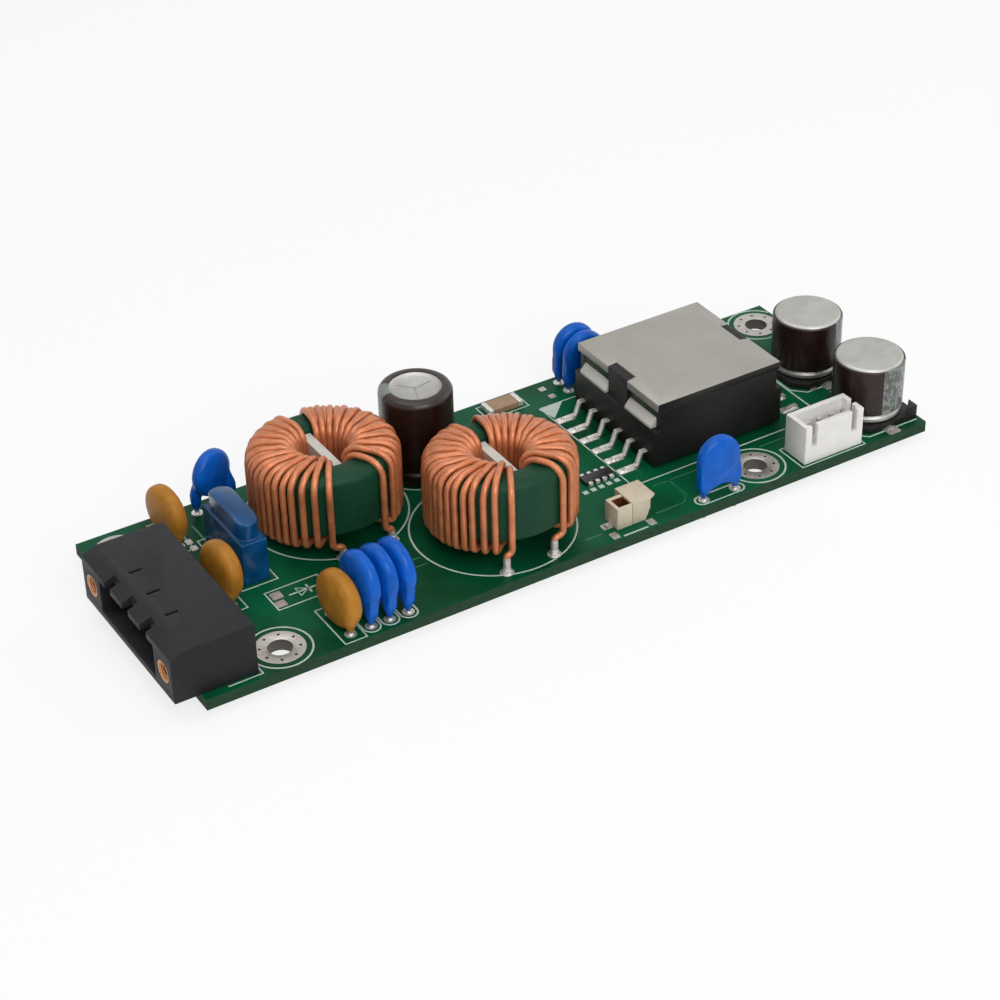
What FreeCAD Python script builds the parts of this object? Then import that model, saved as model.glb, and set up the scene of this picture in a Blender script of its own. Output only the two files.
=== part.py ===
"""Dc-dc converter module: a long circuit board with a pluggable input header, a blade fuse,
disc capacitors, two toroidal chokes, a flat transformer and the output connectors.

Millimetres. The origin is at the centre of the board's underside, X runs along the board from
the input header to the output capacitors, Y from the near edge to the far edge, and Z is up.
Places in the Layout sheet are measured from the board's near left corner and its top face."""

import FreeCAD, Part
import math
import os

import Sketcher

doc = FreeCAD.newDocument("dc_dc_converter")

# Driving dimensions
SIZES = (
    # circuit board
    ("board_width", 38.0),
    ("board_thickness", 1.6),
    ("board_end_margin", 0.3),
    ("screw_hole_d", 3.2),
    ("screw_land_d", 8.8),
    ("screw_edge", 4.2),
    ("screw_end", 3.8),
    ("lead_length_below", 1.2),
    ("drill_clearance", 0.15),
    # input header
    ("header_depth", 11.2),
    ("header_overhang", 3.5),
    ("header_inset", 1.2),
    ("header_height", 7.4),
    ("header_pitch", 5.08),
    ("header_poles", 3),
    ("header_flange", 5.08),
    ("cavity_floor", 1.0),
    ("cavity_height", 4.6),
    ("cavity_depth", 8.5),
    ("lip_slope_depth", 2.1),
    ("lip_slope_drop", 0.8),
    ("key_notch_width", 1.7),
    ("key_notch_depth", 1.5),
    ("latch_slot_width", 2.4),
    ("latch_slot_length", 0.6),
    ("latch_slot_depth", 0.8),
    ("latch_slot_place", 3.9),
    ("insert_d", 3.0),
    ("insert_bore_d", 2.1),
    ("insert_length", 6.0),
    ("insert_height", 3.4),
    ("header_pin_side", 1.0),
    ("header_pin_setback", 2.0),
    ("header_pin_inset", 1.3),
    # disc capacitors
    ("lead_pitch", 5.08),
    ("lead_d", 0.6),
    ("ochre_d", 7.8),
    ("ochre_thickness", 3.0),
    ("ochre_seat", 0.1),
    ("blue_d", 7.8),
    ("blue_thickness", 2.5),
    ("blue_centre_height", 5.6),
    ("small_blue_d", 6.4),
    ("small_blue_thickness", 2.4),
    ("small_blue_centre_height", 5.6),
    ("coat_bevel", 1.3),
    ("coat_rim_share", 0.42),
    ("leg_top_d", 1.7),
    ("leg_tip_d", 0.9),
    ("leg_tip_height", 0.4),
    ("coat_web_height", 1.0),
    ("disc_gap", 0.15),
    # fuse
    ("fuse_length", 11.2),
    ("fuse_thickness", 3.6),
    ("fuse_crown_thickness", 3.0),
    ("fuse_height", 9.0),
    ("fuse_shoulder_height", 6.2),
    ("fuse_shoulder_inset", 0.6),
    ("fuse_arch", 0.5),
    ("fuse_wall", 0.9),
    ("fuse_slot_clearance", 0.15),
    ("blade_width", 2.8),
    ("blade_thickness", 0.7),
    ("fuse_link_height", 1.0),
    # chokes
    ("core_d", 18.2),
    ("core_bore", 9.5),
    ("core_height", 9.2),
    ("core_lift", 2.3),
    ("core_chamfer", 1.2),
    ("wire_d", 0.9),
    ("wire_clearance", 0.05),
    ("winding_turns", 19),
    ("near_gap_angle", 19.5),
    ("far_gap_angle", 12.0),
    ("divider_thickness", 1.3),
    ("divider_drop", 1.0),
    ("choke_lead_pitch", 7.15),
    ("choke_lead_shift", 1.1),
    ("choke_lead_inset", 1.2),
    ("choke_gap", 2.7),
    # tall capacitor
    ("tall_d", 10.0),
    ("tall_height", 12.9),
    ("tall_lead_pitch", 5.0),
    ("tall_seat", 0.2),
    ("crimp_height", 2.1),
    ("crimp_half_width", 0.5),
    ("crimp_depth", 0.45),
    ("sleeve_wall", 0.15),
    ("sleeve_lip", 0.7),
    ("top_recess", 0.3),
    ("vent_depth", 0.15),
    ("vent_width", 0.25),
    ("vent_length", 3.2),
    # transformer
    ("plate_length", 20.1),
    ("plate_width", 19.3),
    ("plate_thickness", 1.5),
    ("plate_border", 1.7),
    ("plate_bevel", 0.3),
    ("transformer_height", 10.4),
    ("notch_width", 4.6),
    ("notch_depth", 1.4),
    ("tab_clearance", 0.05),
    ("tab_drop", 0.3),
    ("tab_setback", 0.1),
    ("leg_recess", 0.5),
    ("leg_thickness", 2.5),
    ("upper_leg_height", 1.5),
    ("ledge_drop", 1.1),
    ("ledge_flare", 0.9),
    ("ledge_lip", 0.4),
    ("lower_plate_thickness", 1.5),
    ("lower_plate_lift", 2.2),
    ("case_wall", 1.1),
    ("case_lift", 0.5),
    ("former_web", 0.6),
    ("former_wall", 0.6),
    ("post_clearance", 0.1),
    ("coil_clearance", 0.25),
    ("coil_build", 2.3),
    ("pin_pitch", 3.0),
    ("pins_per_side", 6),
    ("pin_width", 0.8),
    ("pin_sheet", 0.3),
    ("pin_height", 1.9),
    ("pin_root", 0.8),
    ("pin_shoulder", 0.6),
    ("pin_slope", 0.7),
    ("pin_foot", 2.0),
    # output header
    ("output_pitch", 2.0),
    ("output_poles", 4),
    ("output_end", 1.85),
    ("output_depth", 4.5),
    ("output_height", 5.8),
    ("output_wall", 0.75),
    ("output_floor", 1.6),
    ("output_pin_side", 0.5),
    ("output_pin_above", 3.4),
    ("output_slot_width", 0.9),
    ("output_slot_depth", 3.4),
    # two-way socket
    ("socket_length", 6.0),
    ("socket_depth", 4.2),
    ("socket_height", 3.15),
    ("socket_low_length", 2.3),
    ("socket_low_depth", 2.95),
    ("socket_wall", 0.5),
    ("socket_mouth_depth", 2.2),
    ("socket_cap_sheet", 0.35),
    ("socket_cap_rise", 0.2),
    ("socket_cap_overhang", 0.9),
    ("socket_cap_corner", 0.4),
    ("socket_toe_length", 0.75),
    ("socket_toe_height", 1.7),
    ("socket_seam", 0.15),
    ("contact_width", 0.9),
    ("contact_sheet", 0.25),
    ("contact_foot", 0.9),
    # output capacitors
    ("can_d", 9.8),
    ("can_bottom", 0.9),
    ("can_top", 9.4),
    ("can_edge", 0.5),
    ("can_rim_height", 0.6),
    ("base_side", 9.9),
    ("base_corner", 1.9),
    ("base_corner_height", 1.95),
    ("terminal_width", 0.9),
    ("terminal_sheet", 0.2),
    ("terminal_reach", 0.5),
    # chips
    ("chip_length", 5.4),
    ("chip_width", 2.6),
    ("chip_height", 0.9),
    ("chip_end", 0.7),
    ("array_length", 4.5),
    ("array_width", 1.7),
    ("array_height", 0.6),
    ("array_pitch", 1.1),
    ("array_terminal", 0.6),
    ("array_terminal_reach", 0.45),
    # room between neighbours
    ("ochre_gap", 1.8),
    ("ochre_far_margin", 1.5),
    ("ochre_middle_shift", 3.7),
    ("ochre_near_margin", 0.4),
    ("ochre_land_gap", 2.6),
    ("fuse_gap", 1.7),
    ("fuse_far_gap", 0.5),
    ("choke_fuse_gap", 2.25),
    ("choke_far_margin", 2.7),
    ("choke_near_margin", 0.85),
    ("choke_disc_gap", 0.6),
    ("tall_side_gap", 0.85),
    ("tall_near_gap", 2.75),
    ("socket_gap", 2.02),
    ("socket_margin", 1.9),
    ("transformer_gap", 10.674),
    ("transformer_share", 0.682635),
    ("middle_screw_shift", 1.4),
    ("small_blue_margin", 0.2),
    ("small_blue_land_gap", 0.35),
    ("small_blue_offset", 6.55),
    ("small_blue_far_margin", 0.35),
    ("small_blue_fuse_shift", 2.9),
    ("small_blue_fuse_margin", 1.1),
    ("output_land_gap", 1.1),
    ("output_margin", 0.55),
    ("capacitor_header_gap", 0.6),
    ("capacitor_pin_gap", 3.45),
    ("capacitor_margin", 1.65),
    ("capacitor_gap", 3.8),
    ("chip_gap", 5.4),
    ("chip_margin", 1.3),
    ("array_gap", 2.0),
    ("array_shift", 5.6),
)

sizes = doc.addObject("Spreadsheet::Sheet", "Sizes")
for row, (name, value) in enumerate(SIZES, start=1):
    sizes.set(f"A{row}", name)
    sizes.set(f"B{row}", str(value))
    sizes.setAlias(f"B{row}", name)

# Places and sizes that follow from the driving dimensions
LAYOUT = (
    # input header
    ("header_back", "Sizes.header_depth - Sizes.header_overhang"),
    ("header_width", "Sizes.header_poles * Sizes.header_pitch + 2 * Sizes.header_flange"),
    ("header_middle", "Sizes.header_inset + header_width / 2"),
    ("pole_y", "Sizes.header_inset + Sizes.header_flange + Sizes.header_pitch / 2"),
    ("header_pin_x", "header_back - Sizes.header_pin_inset"),
    ("cavity_middle", "Sizes.cavity_floor + Sizes.cavity_height / 2"),
    # near left screw and the row of three ochre discs
    ("land_r", "Sizes.screw_land_d / 2"),
    ("screw_1_x", "header_back + land_r"),
    ("ochre_x", "header_back + Sizes.ochre_gap + Sizes.ochre_thickness / 2"),
    ("ochre_1_y", "Sizes.board_width - Sizes.ochre_far_margin - Sizes.ochre_d / 2"),
    ("ochre_2_y", "header_middle + Sizes.ochre_middle_shift"),
    ("ochre_3_x", "screw_1_x + land_r + Sizes.ochre_land_gap + Sizes.ochre_thickness / 2"),
    ("ochre_3_y", "Sizes.ochre_near_margin + Sizes.ochre_d / 2"),
    ("ochre_height", "Sizes.ochre_seat + Sizes.ochre_d / 2"),
    # three blue discs beside the last ochre one
    ("blue_1_x", "ochre_3_x + (Sizes.ochre_thickness + Sizes.blue_thickness) / 2 + Sizes.disc_gap"),
    ("blue_step", "Sizes.blue_thickness + Sizes.disc_gap"),
    ("blue_y", "Sizes.ochre_near_margin + Sizes.blue_d / 2"),
    # fuse
    ("fuse_x", "ochre_x + (Sizes.ochre_thickness + Sizes.fuse_thickness) / 2 + Sizes.fuse_gap"),
    ("small_2_y", "Sizes.board_width - Sizes.small_blue_far_margin - Sizes.small_blue_thickness / 2"),
    ("small_3_y", "small_2_y - Sizes.small_blue_thickness - Sizes.disc_gap"),
    ("small_4_y", "small_2_y - Sizes.small_blue_fuse_margin + Sizes.small_blue_far_margin"),
    ("fuse_end", "small_4_y - Sizes.small_blue_thickness / 2 - Sizes.fuse_far_gap"),
    ("fuse_y", "min(ochre_2_y; fuse_end - Sizes.fuse_length) + Sizes.fuse_length / 2"),
    # chokes
    ("choke_r", "Sizes.core_d / 2 + Sizes.wire_d + 2 * Sizes.wire_clearance"),
    ("choke_1_x", "fuse_x + Sizes.fuse_thickness / 2 + Sizes.choke_fuse_gap + choke_r"),
    ("choke_1_y", "Sizes.board_width - Sizes.choke_far_margin - choke_r"),
    ("choke_2_y", "Sizes.choke_near_margin + choke_r"),
    ("choke_apart", "2 * choke_r + Sizes.choke_gap"),
    ("choke_rise", "choke_1_y - choke_2_y"),
    ("past_choke", "choke_1_x + sqrt(max(0; pow(choke_apart; 2) - pow(choke_rise; 2)))"),
    ("past_discs", "blue_1_x + 2 * blue_step + Sizes.blue_thickness / 2 + Sizes.choke_disc_gap"),
    ("choke_2_x", "max(past_choke; past_discs + choke_r)"),
    ("choke_lead_y", "choke_r - Sizes.choke_lead_inset"),
    # tall capacitor
    ("tall_x", "choke_1_x + choke_r + Sizes.tall_side_gap + Sizes.tall_d / 2"),
    ("tall_y", "choke_2_y + choke_r + Sizes.tall_near_gap + Sizes.tall_d / 2"),
    # socket
    ("socket_x", "choke_2_x + choke_r + Sizes.socket_gap + Sizes.socket_length / 2"),
    ("socket_y", "Sizes.socket_margin + Sizes.socket_depth / 2"),
    # transformer
    ("leg_face", "Sizes.plate_length / 2 - Sizes.leg_recess"),
    ("case_face", "leg_face + Sizes.ledge_flare"),
    ("pin_bend", "case_face + Sizes.pin_shoulder"),
    ("pin_heel", "pin_bend + Sizes.pin_slope"),
    ("pin_end", "pin_heel + Sizes.pin_foot"),
    ("leg_joint", "Sizes.transformer_height - Sizes.plate_thickness - Sizes.upper_leg_height"),
    ("plate_under", "Sizes.transformer_height - Sizes.plate_thickness"),
    ("ledge_under", "leg_joint - Sizes.ledge_drop - Sizes.ledge_lip"),
    ("case_inside", "Sizes.plate_width / 2 - Sizes.case_wall"),
    ("web_height", "Sizes.lower_plate_lift + Sizes.lower_plate_thickness"),
    ("coil_under", "web_height + Sizes.former_web"),
    ("coil_r", "min(leg_face - Sizes.leg_thickness; case_inside) - Sizes.coil_clearance"),
    ("former_r", "coil_r - Sizes.coil_build"),
    ("post_r", "former_r - Sizes.former_wall - Sizes.post_clearance"),
    ("transformer_x", "choke_2_x + choke_r + Sizes.transformer_gap + pin_end"),
    ("near_row", "Sizes.output_margin + Sizes.output_depth"),
    ("far_row", "small_3_y - Sizes.small_blue_thickness / 2"),
    ("transformer_room", "far_row - near_row - Sizes.plate_width"),
    ("transformer_near", "near_row + transformer_room * Sizes.transformer_share"),
    ("transformer_y", "transformer_near + Sizes.plate_width / 2"),
    # small blue discs
    ("screw_2_x", "transformer_x + Sizes.middle_screw_shift"),
    ("small_1_x", "screw_2_x - land_r - Sizes.small_blue_land_gap - Sizes.small_blue_d / 2"),
    ("small_1_y", "Sizes.small_blue_margin + Sizes.small_blue_thickness / 2"),
    ("small_2_x", "transformer_x - Sizes.small_blue_offset"),
    ("small_4_x", "fuse_x + Sizes.small_blue_fuse_shift"),
    # output header
    ("output_length", "(Sizes.output_poles - 1) * Sizes.output_pitch + 2 * Sizes.output_end"),
    ("output_x", "screw_2_x + land_r + Sizes.output_land_gap + output_length / 2"),
    ("output_y", "Sizes.output_margin + Sizes.output_depth / 2"),
    # output capacitors
    ("past_header", "output_x + output_length / 2 + Sizes.capacitor_header_gap"),
    ("past_pins", "transformer_x + pin_end + Sizes.capacitor_pin_gap"),
    ("capacitor_x", "max(past_header; past_pins) + Sizes.base_side / 2"),
    ("capacitor_1_y", "Sizes.capacitor_margin + Sizes.base_side / 2"),
    ("capacitor_2_y", "capacitor_1_y + Sizes.base_side + Sizes.capacitor_gap"),
    # board and screws
    ("board_length", "capacitor_x + Sizes.base_side / 2 + Sizes.board_end_margin"),
    ("screw_3_x", "board_length - Sizes.screw_end"),
    ("screw_far_y", "Sizes.board_width - Sizes.screw_edge"),
    ("middle_x", "board_length / 2"),
    ("middle_y", "Sizes.board_width / 2"),
    # chips
    ("chip_x", "transformer_x - pin_end - Sizes.chip_gap"),
    ("chip_y", "Sizes.board_width - Sizes.chip_margin - Sizes.chip_width / 2"),
    ("array_x", "transformer_x - pin_end - Sizes.array_gap - Sizes.array_length / 2"),
    ("array_y", "Sizes.board_width / 2 - Sizes.array_shift"),
)

layout = doc.addObject("Spreadsheet::Sheet", "Layout")
for row, (name, formula) in enumerate(LAYOUT, start=1):
    layout.set(f"A{row}", name)
    layout.set(f"B{row}", "=" + formula)
    layout.setAlias(f"B{row}", name)
doc.recompute()

pieces = []
drills = []
VERTICAL = FreeCAD.Rotation()
FACING_Y = FreeCAD.Rotation(FreeCAD.Vector(1, 0, 0), 90)
FACING_X = FreeCAD.Rotation(FreeCAD.Vector(1, 1, 1), 120)
HALF_TURN = FreeCAD.Rotation(FreeCAD.Vector(0, 0, 1), 180)

# Sides of what is round and repeated
LEAD_SIDES = 6
WIRE_SIDES = 5
INSERT_SIDES = 12
ROUND_SIDES = 36
DISC_SIDES = 20
POST_SIDES = 16


def value(expression):
    return float(sizes.evalExpression(str(expression)))


def bind(thing, **expressions):
    for attribute, expression in expressions.items():
        thing.setExpression(attribute, str(expression))
    return thing


def put(thing, x=0, y=0, z=0, turn=VERTICAL):
    thing.Placement = FreeCAD.Placement(FreeCAD.Vector(0, 0, 0), turn)
    for axis, expression in zip("xyz", (x, y, z)):
        thing.setExpression(f"Placement.Base.{axis}", str(expression))
    return thing


def on_board(thing, x, y, z=0, turn=VERTICAL):
    """Places a thing by the board's near left corner and its top face."""
    height = f"Sizes.board_thickness + ({z})"
    return put(thing, f"({x}) - Layout.middle_x", f"({y}) - Layout.middle_y", height, turn)


def node(thing, label):
    thing.Label = label
    pieces.append(thing)
    return thing


def drill(x, y, radius):
    drills.append((x, y, f"{radius} + Sizes.drill_clearance"))


def hold(sketch, element, end, x, y):
    """Keeps one end of a line, or a circle's centre, at x, y."""
    for kind, place in (("DistanceX", x), ("DistanceY", y)):
        rule = Sketcher.Constraint(kind, -1, 1, element, end, value(place))
        held = sketch.addConstraint(rule)
        sketch.setExpression(f"Constraints[{held}]", str(place))


def fill_sketch(sketch, loops):
    """Adds closed loops: a circle as (x, y, radius), a polygon as a list of (x, y)."""
    for loop in loops:
        first = sketch.GeometryCount
        if isinstance(loop, tuple):
            x, y, radius = loop
            centre = FreeCAD.Vector(value(x), value(y), 0)
            sketch.addGeometry(Part.Circle(centre, FreeCAD.Vector(0, 0, 1), value(radius)), False)
            size = sketch.addConstraint(Sketcher.Constraint("Radius", first, value(radius)))
            sketch.setExpression(f"Constraints[{size}]", str(radius))
            hold(sketch, first, 3, x, y)
        else:
            spots = [FreeCAD.Vector(value(x), value(y), 0) for x, y in loop]
            for start, end in zip(spots, spots[1:] + spots[:1]):
                sketch.addGeometry(Part.LineSegment(start, end), False)
            for side in range(len(spots)):
                following = first + (side + 1) % len(spots)
                sketch.addConstraint(
                    Sketcher.Constraint("Coincident", first + side, 2, following, 1)
                )
            for corner, (x, y) in enumerate(loop):
                hold(sketch, first + corner, 1, x, y)
    return sketch


def sketch_of(name, loops, turn=VERTICAL):
    sketch = doc.addObject("Sketcher::SketchObject", name)
    sketch.Placement = FreeCAD.Placement(FreeCAD.Vector(0, 0, 0), turn)
    return fill_sketch(sketch, loops)


def extrude(name, loops, length, turn=VERTICAL, symmetric=False):
    """Extrudes along +Z, +X (turn FACING_X) or +Y (turn FACING_Y)."""
    solid = doc.addObject("Part::Extrusion", name)
    solid.Base = sketch_of(name + "_outline", loops, turn)
    solid.DirMode = "Normal"
    solid.Solid = True
    solid.Symmetric = symmetric
    solid.Reversed = turn is FACING_Y
    return bind(solid, LengthFwd=length)


def box(name, length, width, height, x=0, y=0, z=0):
    solid = doc.addObject("Part::Box", name)
    bind(solid, Length=length, Width=width, Height=height)
    return put(solid, x, y, z)


def centred_box(name, length, width, height, x=0, y=0, z=0):
    return box(name, length, width, height, f"({x}) - ({length}) / 2", f"({y}) - ({width}) / 2", z)


def rod(name, radius, height, x=0, y=0, z=0, turn=VERTICAL):
    solid = doc.addObject("Part::Cylinder", name)
    bind(solid, Radius=radius, Height=height)
    return put(solid, x, y, z, turn)


def prism(name, radius, height, x=0, y=0, z=0, sides=LEAD_SIDES, turn=VERTICAL):
    """A bar with a regular outline, for what is small and round."""
    solid = doc.addObject("Part::Prism", name)
    solid.Polygon = sides
    bind(solid, Circumradius=radius, Height=height)
    return put(solid, x, y, z, turn)


def flat_sided(rings):
    """A solid between rings of as many points each, with a flat face to each side."""
    faces = [Part.Face(Part.makePolygon(end + end[:1])) for end in (rings[0], rings[-1])]
    for lower, upper in zip(rings, rings[1:]):
        for side in range(len(lower)):
            after = (side + 1) % len(lower)
            quad = [lower[side], lower[after], upper[after], upper[side], lower[side]]
            faces.append(Part.Face(Part.makePolygon(quad)))
    return Part.Solid(Part.makeShell(faces))


def taper(name, sections, sides, turn=VERTICAL):
    """Joins regular outlines, each given as (radius, x, y, z), by straight flanks."""
    rings = []
    for radius, x, y, z in sections:
        middle = FreeCAD.Vector(value(x), value(y), value(z))
        reach = FreeCAD.Vector(value(radius), 0, 0)
        steps = [FreeCAD.Rotation(FreeCAD.Vector(0, 0, 1), 360 * n / sides) for n in range(sides)]
        rings.append([middle + turn.multVec(step.multVec(reach)) for step in steps])
    solid = doc.addObject("Part::Feature", name)
    solid.Shape = flat_sided(rings)
    return solid


def fuse(name, *solids):
    joined = doc.addObject("Part::MultiFuse", name)
    joined.Shapes = list(solids)
    joined.Refine = True
    return joined


def cut(name, base, tool):
    left = doc.addObject("Part::Cut", name)
    left.Base = base
    left.Tool = tool
    return left


def common(name, one, two):
    shared = doc.addObject("Part::Common", name)
    shared.Base = one
    shared.Tool = two
    return shared


def group(name, solids):
    kept = doc.addObject("Part::Compound", name)
    kept.Links = list(solids)
    return kept


def body_sketch(body, name, role, loops, offset=None):
    """A sketch on one of a body's own origin planes, moved along the plane's normal."""
    sketch = body.newObject("Sketcher::SketchObject", name)
    plane = next(feature for feature in body.Origin.OriginFeatures if feature.Role == role)
    sketch.AttachmentSupport = [(plane, "")]
    sketch.MapMode = "FlatFace"
    if offset:
        sketch.setExpression("AttachmentOffset.Base.z", offset)
    return fill_sketch(sketch, loops)


def pad(body, name, sketch, length, reverse=False):
    feature = body.newObject("PartDesign::Pad", name)
    feature.Profile = sketch
    feature.Reversed = reverse
    return bind(feature, Length=length)


def pocket(body, name, sketch, length, reverse=False):
    feature = body.newObject("PartDesign::Pocket", name)
    feature.Profile = sketch
    feature.Reversed = reverse
    return bind(feature, Length=length)


def repeat(body, name, feature, axis_role, length, count):
    pattern = body.newObject("PartDesign::LinearPattern", name)
    pattern.Originals = [feature]
    axis = next(item for item in body.Origin.OriginFeatures if item.Role == axis_role)
    pattern.Direction = (axis, [""])
    bind(pattern, Length=length, Occurrences=count)
    body.Tip = pattern
    return pattern


def rectangle(x, y, length, width):
    """The corners of a rectangle whose middle is at x, y."""
    left = f"({x}) - ({length}) / 2"
    right = f"({x}) + ({length}) / 2"
    near = f"({y}) - ({width}) / 2"
    far = f"({y}) + ({width}) / 2"
    return [(left, near), (right, near), (right, far), (left, far)]


def input_header():
    """Three-way pluggable header: L-shaped pins in a shroud that is open towards -X."""
    pole_places = [
        f"Layout.pole_y - Sizes.header_inset + {pole} * Sizes.header_pitch"
        for pole in range(int(value("Sizes.header_poles")))
    ]
    half = "Sizes.header_pin_side / 2"
    row = "(Sizes.header_depth - Sizes.header_pin_inset)"
    tip = "-Sizes.board_thickness - Sizes.lead_length_below"
    pin_outline = [
        ("Sizes.header_pin_setback", f"Layout.cavity_middle - {half}"),
        (f"{row} - {half}", f"Layout.cavity_middle - {half}"),
        (f"{row} - {half}", tip),
        (f"{row} + {half}", tip),
        (f"{row} + {half}", f"Layout.cavity_middle + {half}"),
        ("Sizes.header_pin_setback", f"Layout.cavity_middle + {half}"),
    ]
    pins = []
    for pole, place in enumerate(pole_places, start=1):
        pin = extrude(f"pin_{pole}", [pin_outline], "Sizes.header_pin_side", FACING_Y)
        pins.append(put(pin, 0, f"{place} - {half}", 0))
        drill("Layout.header_pin_x", f"Sizes.header_inset + {place}", f"{half} * sqrt(2)")
    pin_row = group("pin_row", pins)

    body = doc.addObject("PartDesign::Body", "shroud")
    profile = [
        (0, 0),
        ("Sizes.header_depth", 0),
        ("Sizes.header_depth", "Sizes.header_height"),
        ("Sizes.lip_slope_depth", "Sizes.header_height"),
        (0, "Sizes.header_height - Sizes.lip_slope_drop"),
    ]
    side = body_sketch(body, "side_profile", "XZ_Plane", [profile])
    pad(body, "block", side, "Layout.header_width", reverse=True)
    cavity = rectangle(
        "Layout.header_width / 2",
        "Layout.cavity_middle",
        "Sizes.header_poles * Sizes.header_pitch",
        "Sizes.cavity_height",
    )
    mouth = body_sketch(body, "mouth", "YZ_Plane", [cavity])
    pocket(body, "cavity", mouth, "Sizes.cavity_depth", reverse=True)
    notch = rectangle(
        "Sizes.key_notch_depth / 2",
        pole_places[0],
        "Sizes.key_notch_depth",
        "Sizes.key_notch_width",
    )
    notches = body_sketch(body, "key_notch", "XY_Plane", [notch], "Layout.cavity_middle")
    key = pocket(body, "key_notch_cut", notches, "Sizes.header_height", reverse=True)
    slot = rectangle(
        "Sizes.latch_slot_place",
        pole_places[0],
        "Sizes.latch_slot_length",
        "Sizes.latch_slot_width",
    )
    span = "(Sizes.header_poles - 1) * Sizes.header_pitch"
    repeat(body, "key_notch_row", key, "Y_Axis", span, "Sizes.header_poles")
    slots = body_sketch(body, "latch_slot", "XY_Plane", [slot], "Sizes.header_height")
    latch = pocket(body, "latch_slot_cut", slots, "Sizes.latch_slot_depth")
    repeat(body, "latch_slot_row", latch, "Y_Axis", span, "Sizes.header_poles")

    plugs = []
    inserts = []
    flanges = (
        ("near", "Sizes.header_flange / 2"),
        ("far", "Layout.header_width - Sizes.header_flange / 2"),
    )
    for end, spot in flanges:
        seat = ("Sizes.insert_length", 0, spot, "Sizes.insert_height")
        plug = prism(f"insert_{end}", "Sizes.insert_d / 2", *seat, INSERT_SIDES, FACING_X)
        thread = rod(f"thread_{end}", "Sizes.insert_bore_d / 2", *seat, FACING_X)
        plugs.append(plug)
        inserts.append(cut(f"threaded_{end}", plug, thread))
    place = ("-Sizes.header_overhang", "Sizes.header_inset")
    shroud = cut("header_shroud", body, fuse("header_fits", pin_row, *plugs))
    node(on_board(shroud, *place), "header_housing")
    node(on_board(group("insert_pair", inserts), *place), "header_inserts")
    node(on_board(group("pin_set", [pin_row]), *place), "header_pins")


def disc_capacitor(label, kind, x, y, lead_axis):
    """A dipped ceramic disc on edge, its coating run down the two leads."""
    radius = f"Sizes.{kind}_d / 2"
    thickness = f"Sizes.{kind}_thickness"
    height = "Layout.ochre_height" if kind == "ochre" else f"Sizes.{kind}_centre_height"
    rim = f"{thickness} * Sizes.coat_rim_share"
    # The disc's axis is X, and the leads stand apart along Y, before the turn below.
    crown = f"{radius} - Sizes.coat_bevel"
    lens = taper(
        f"{label}_lens",
        [
            (crown, f"-({thickness}) / 2", 0, height),
            (radius, f"-({rim}) / 2", 0, height),
            (radius, f"({rim}) / 2", 0, height),
            (crown, f"({thickness}) / 2", 0, height),
        ],
        DISC_SIDES,
        FACING_X,
    )
    legs = []
    leads = []
    depth = "Sizes.leg_tip_height + Sizes.board_thickness + Sizes.lead_length_below"
    foot = "-Sizes.board_thickness - Sizes.lead_length_below"
    for end, sign in (("near", "-"), ("far", "")):
        spot = f"{sign}Sizes.lead_pitch / 2"
        tip = ("Sizes.leg_tip_d / 2", 0, spot, "Sizes.leg_tip_height")
        root = ("Sizes.leg_top_d / 2", 0, spot, height)
        legs.append(taper(f"{label}_leg_{end}", [tip, root], LEAD_SIDES))
        leads.append(prism(f"{label}_lead_{end}", "Sizes.lead_d / 2", depth, 0, spot, foot))
        along_x = f"{x} + {spot}" if lead_axis == "X" else x
        along_y = y if lead_axis == "X" else f"{y} + {spot}"
        drill(along_x, along_y, "Sizes.lead_d / 2")
    turn = FreeCAD.Rotation(FreeCAD.Vector(0, 0, 1), -90) if lead_axis == "X" else VERTICAL
    dipped = [lens, *legs]
    if value(f"{height} - {radius}") > value("Sizes.coat_web_height"):
        dipped.append(
            centred_box(
                f"{label}_web",
                rim,
                "Sizes.lead_pitch",
                f"{height} - Sizes.coat_web_height",
                0,
                0,
                "Sizes.coat_web_height",
            )
        )
    coat = fuse(f"{label}_coat", *dipped)
    node(on_board(coat, x, y, 0, turn), f"{label}_body")
    node(on_board(group(f"{label}_pair", leads), x, y, 0, turn), f"{label}_leads")


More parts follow.
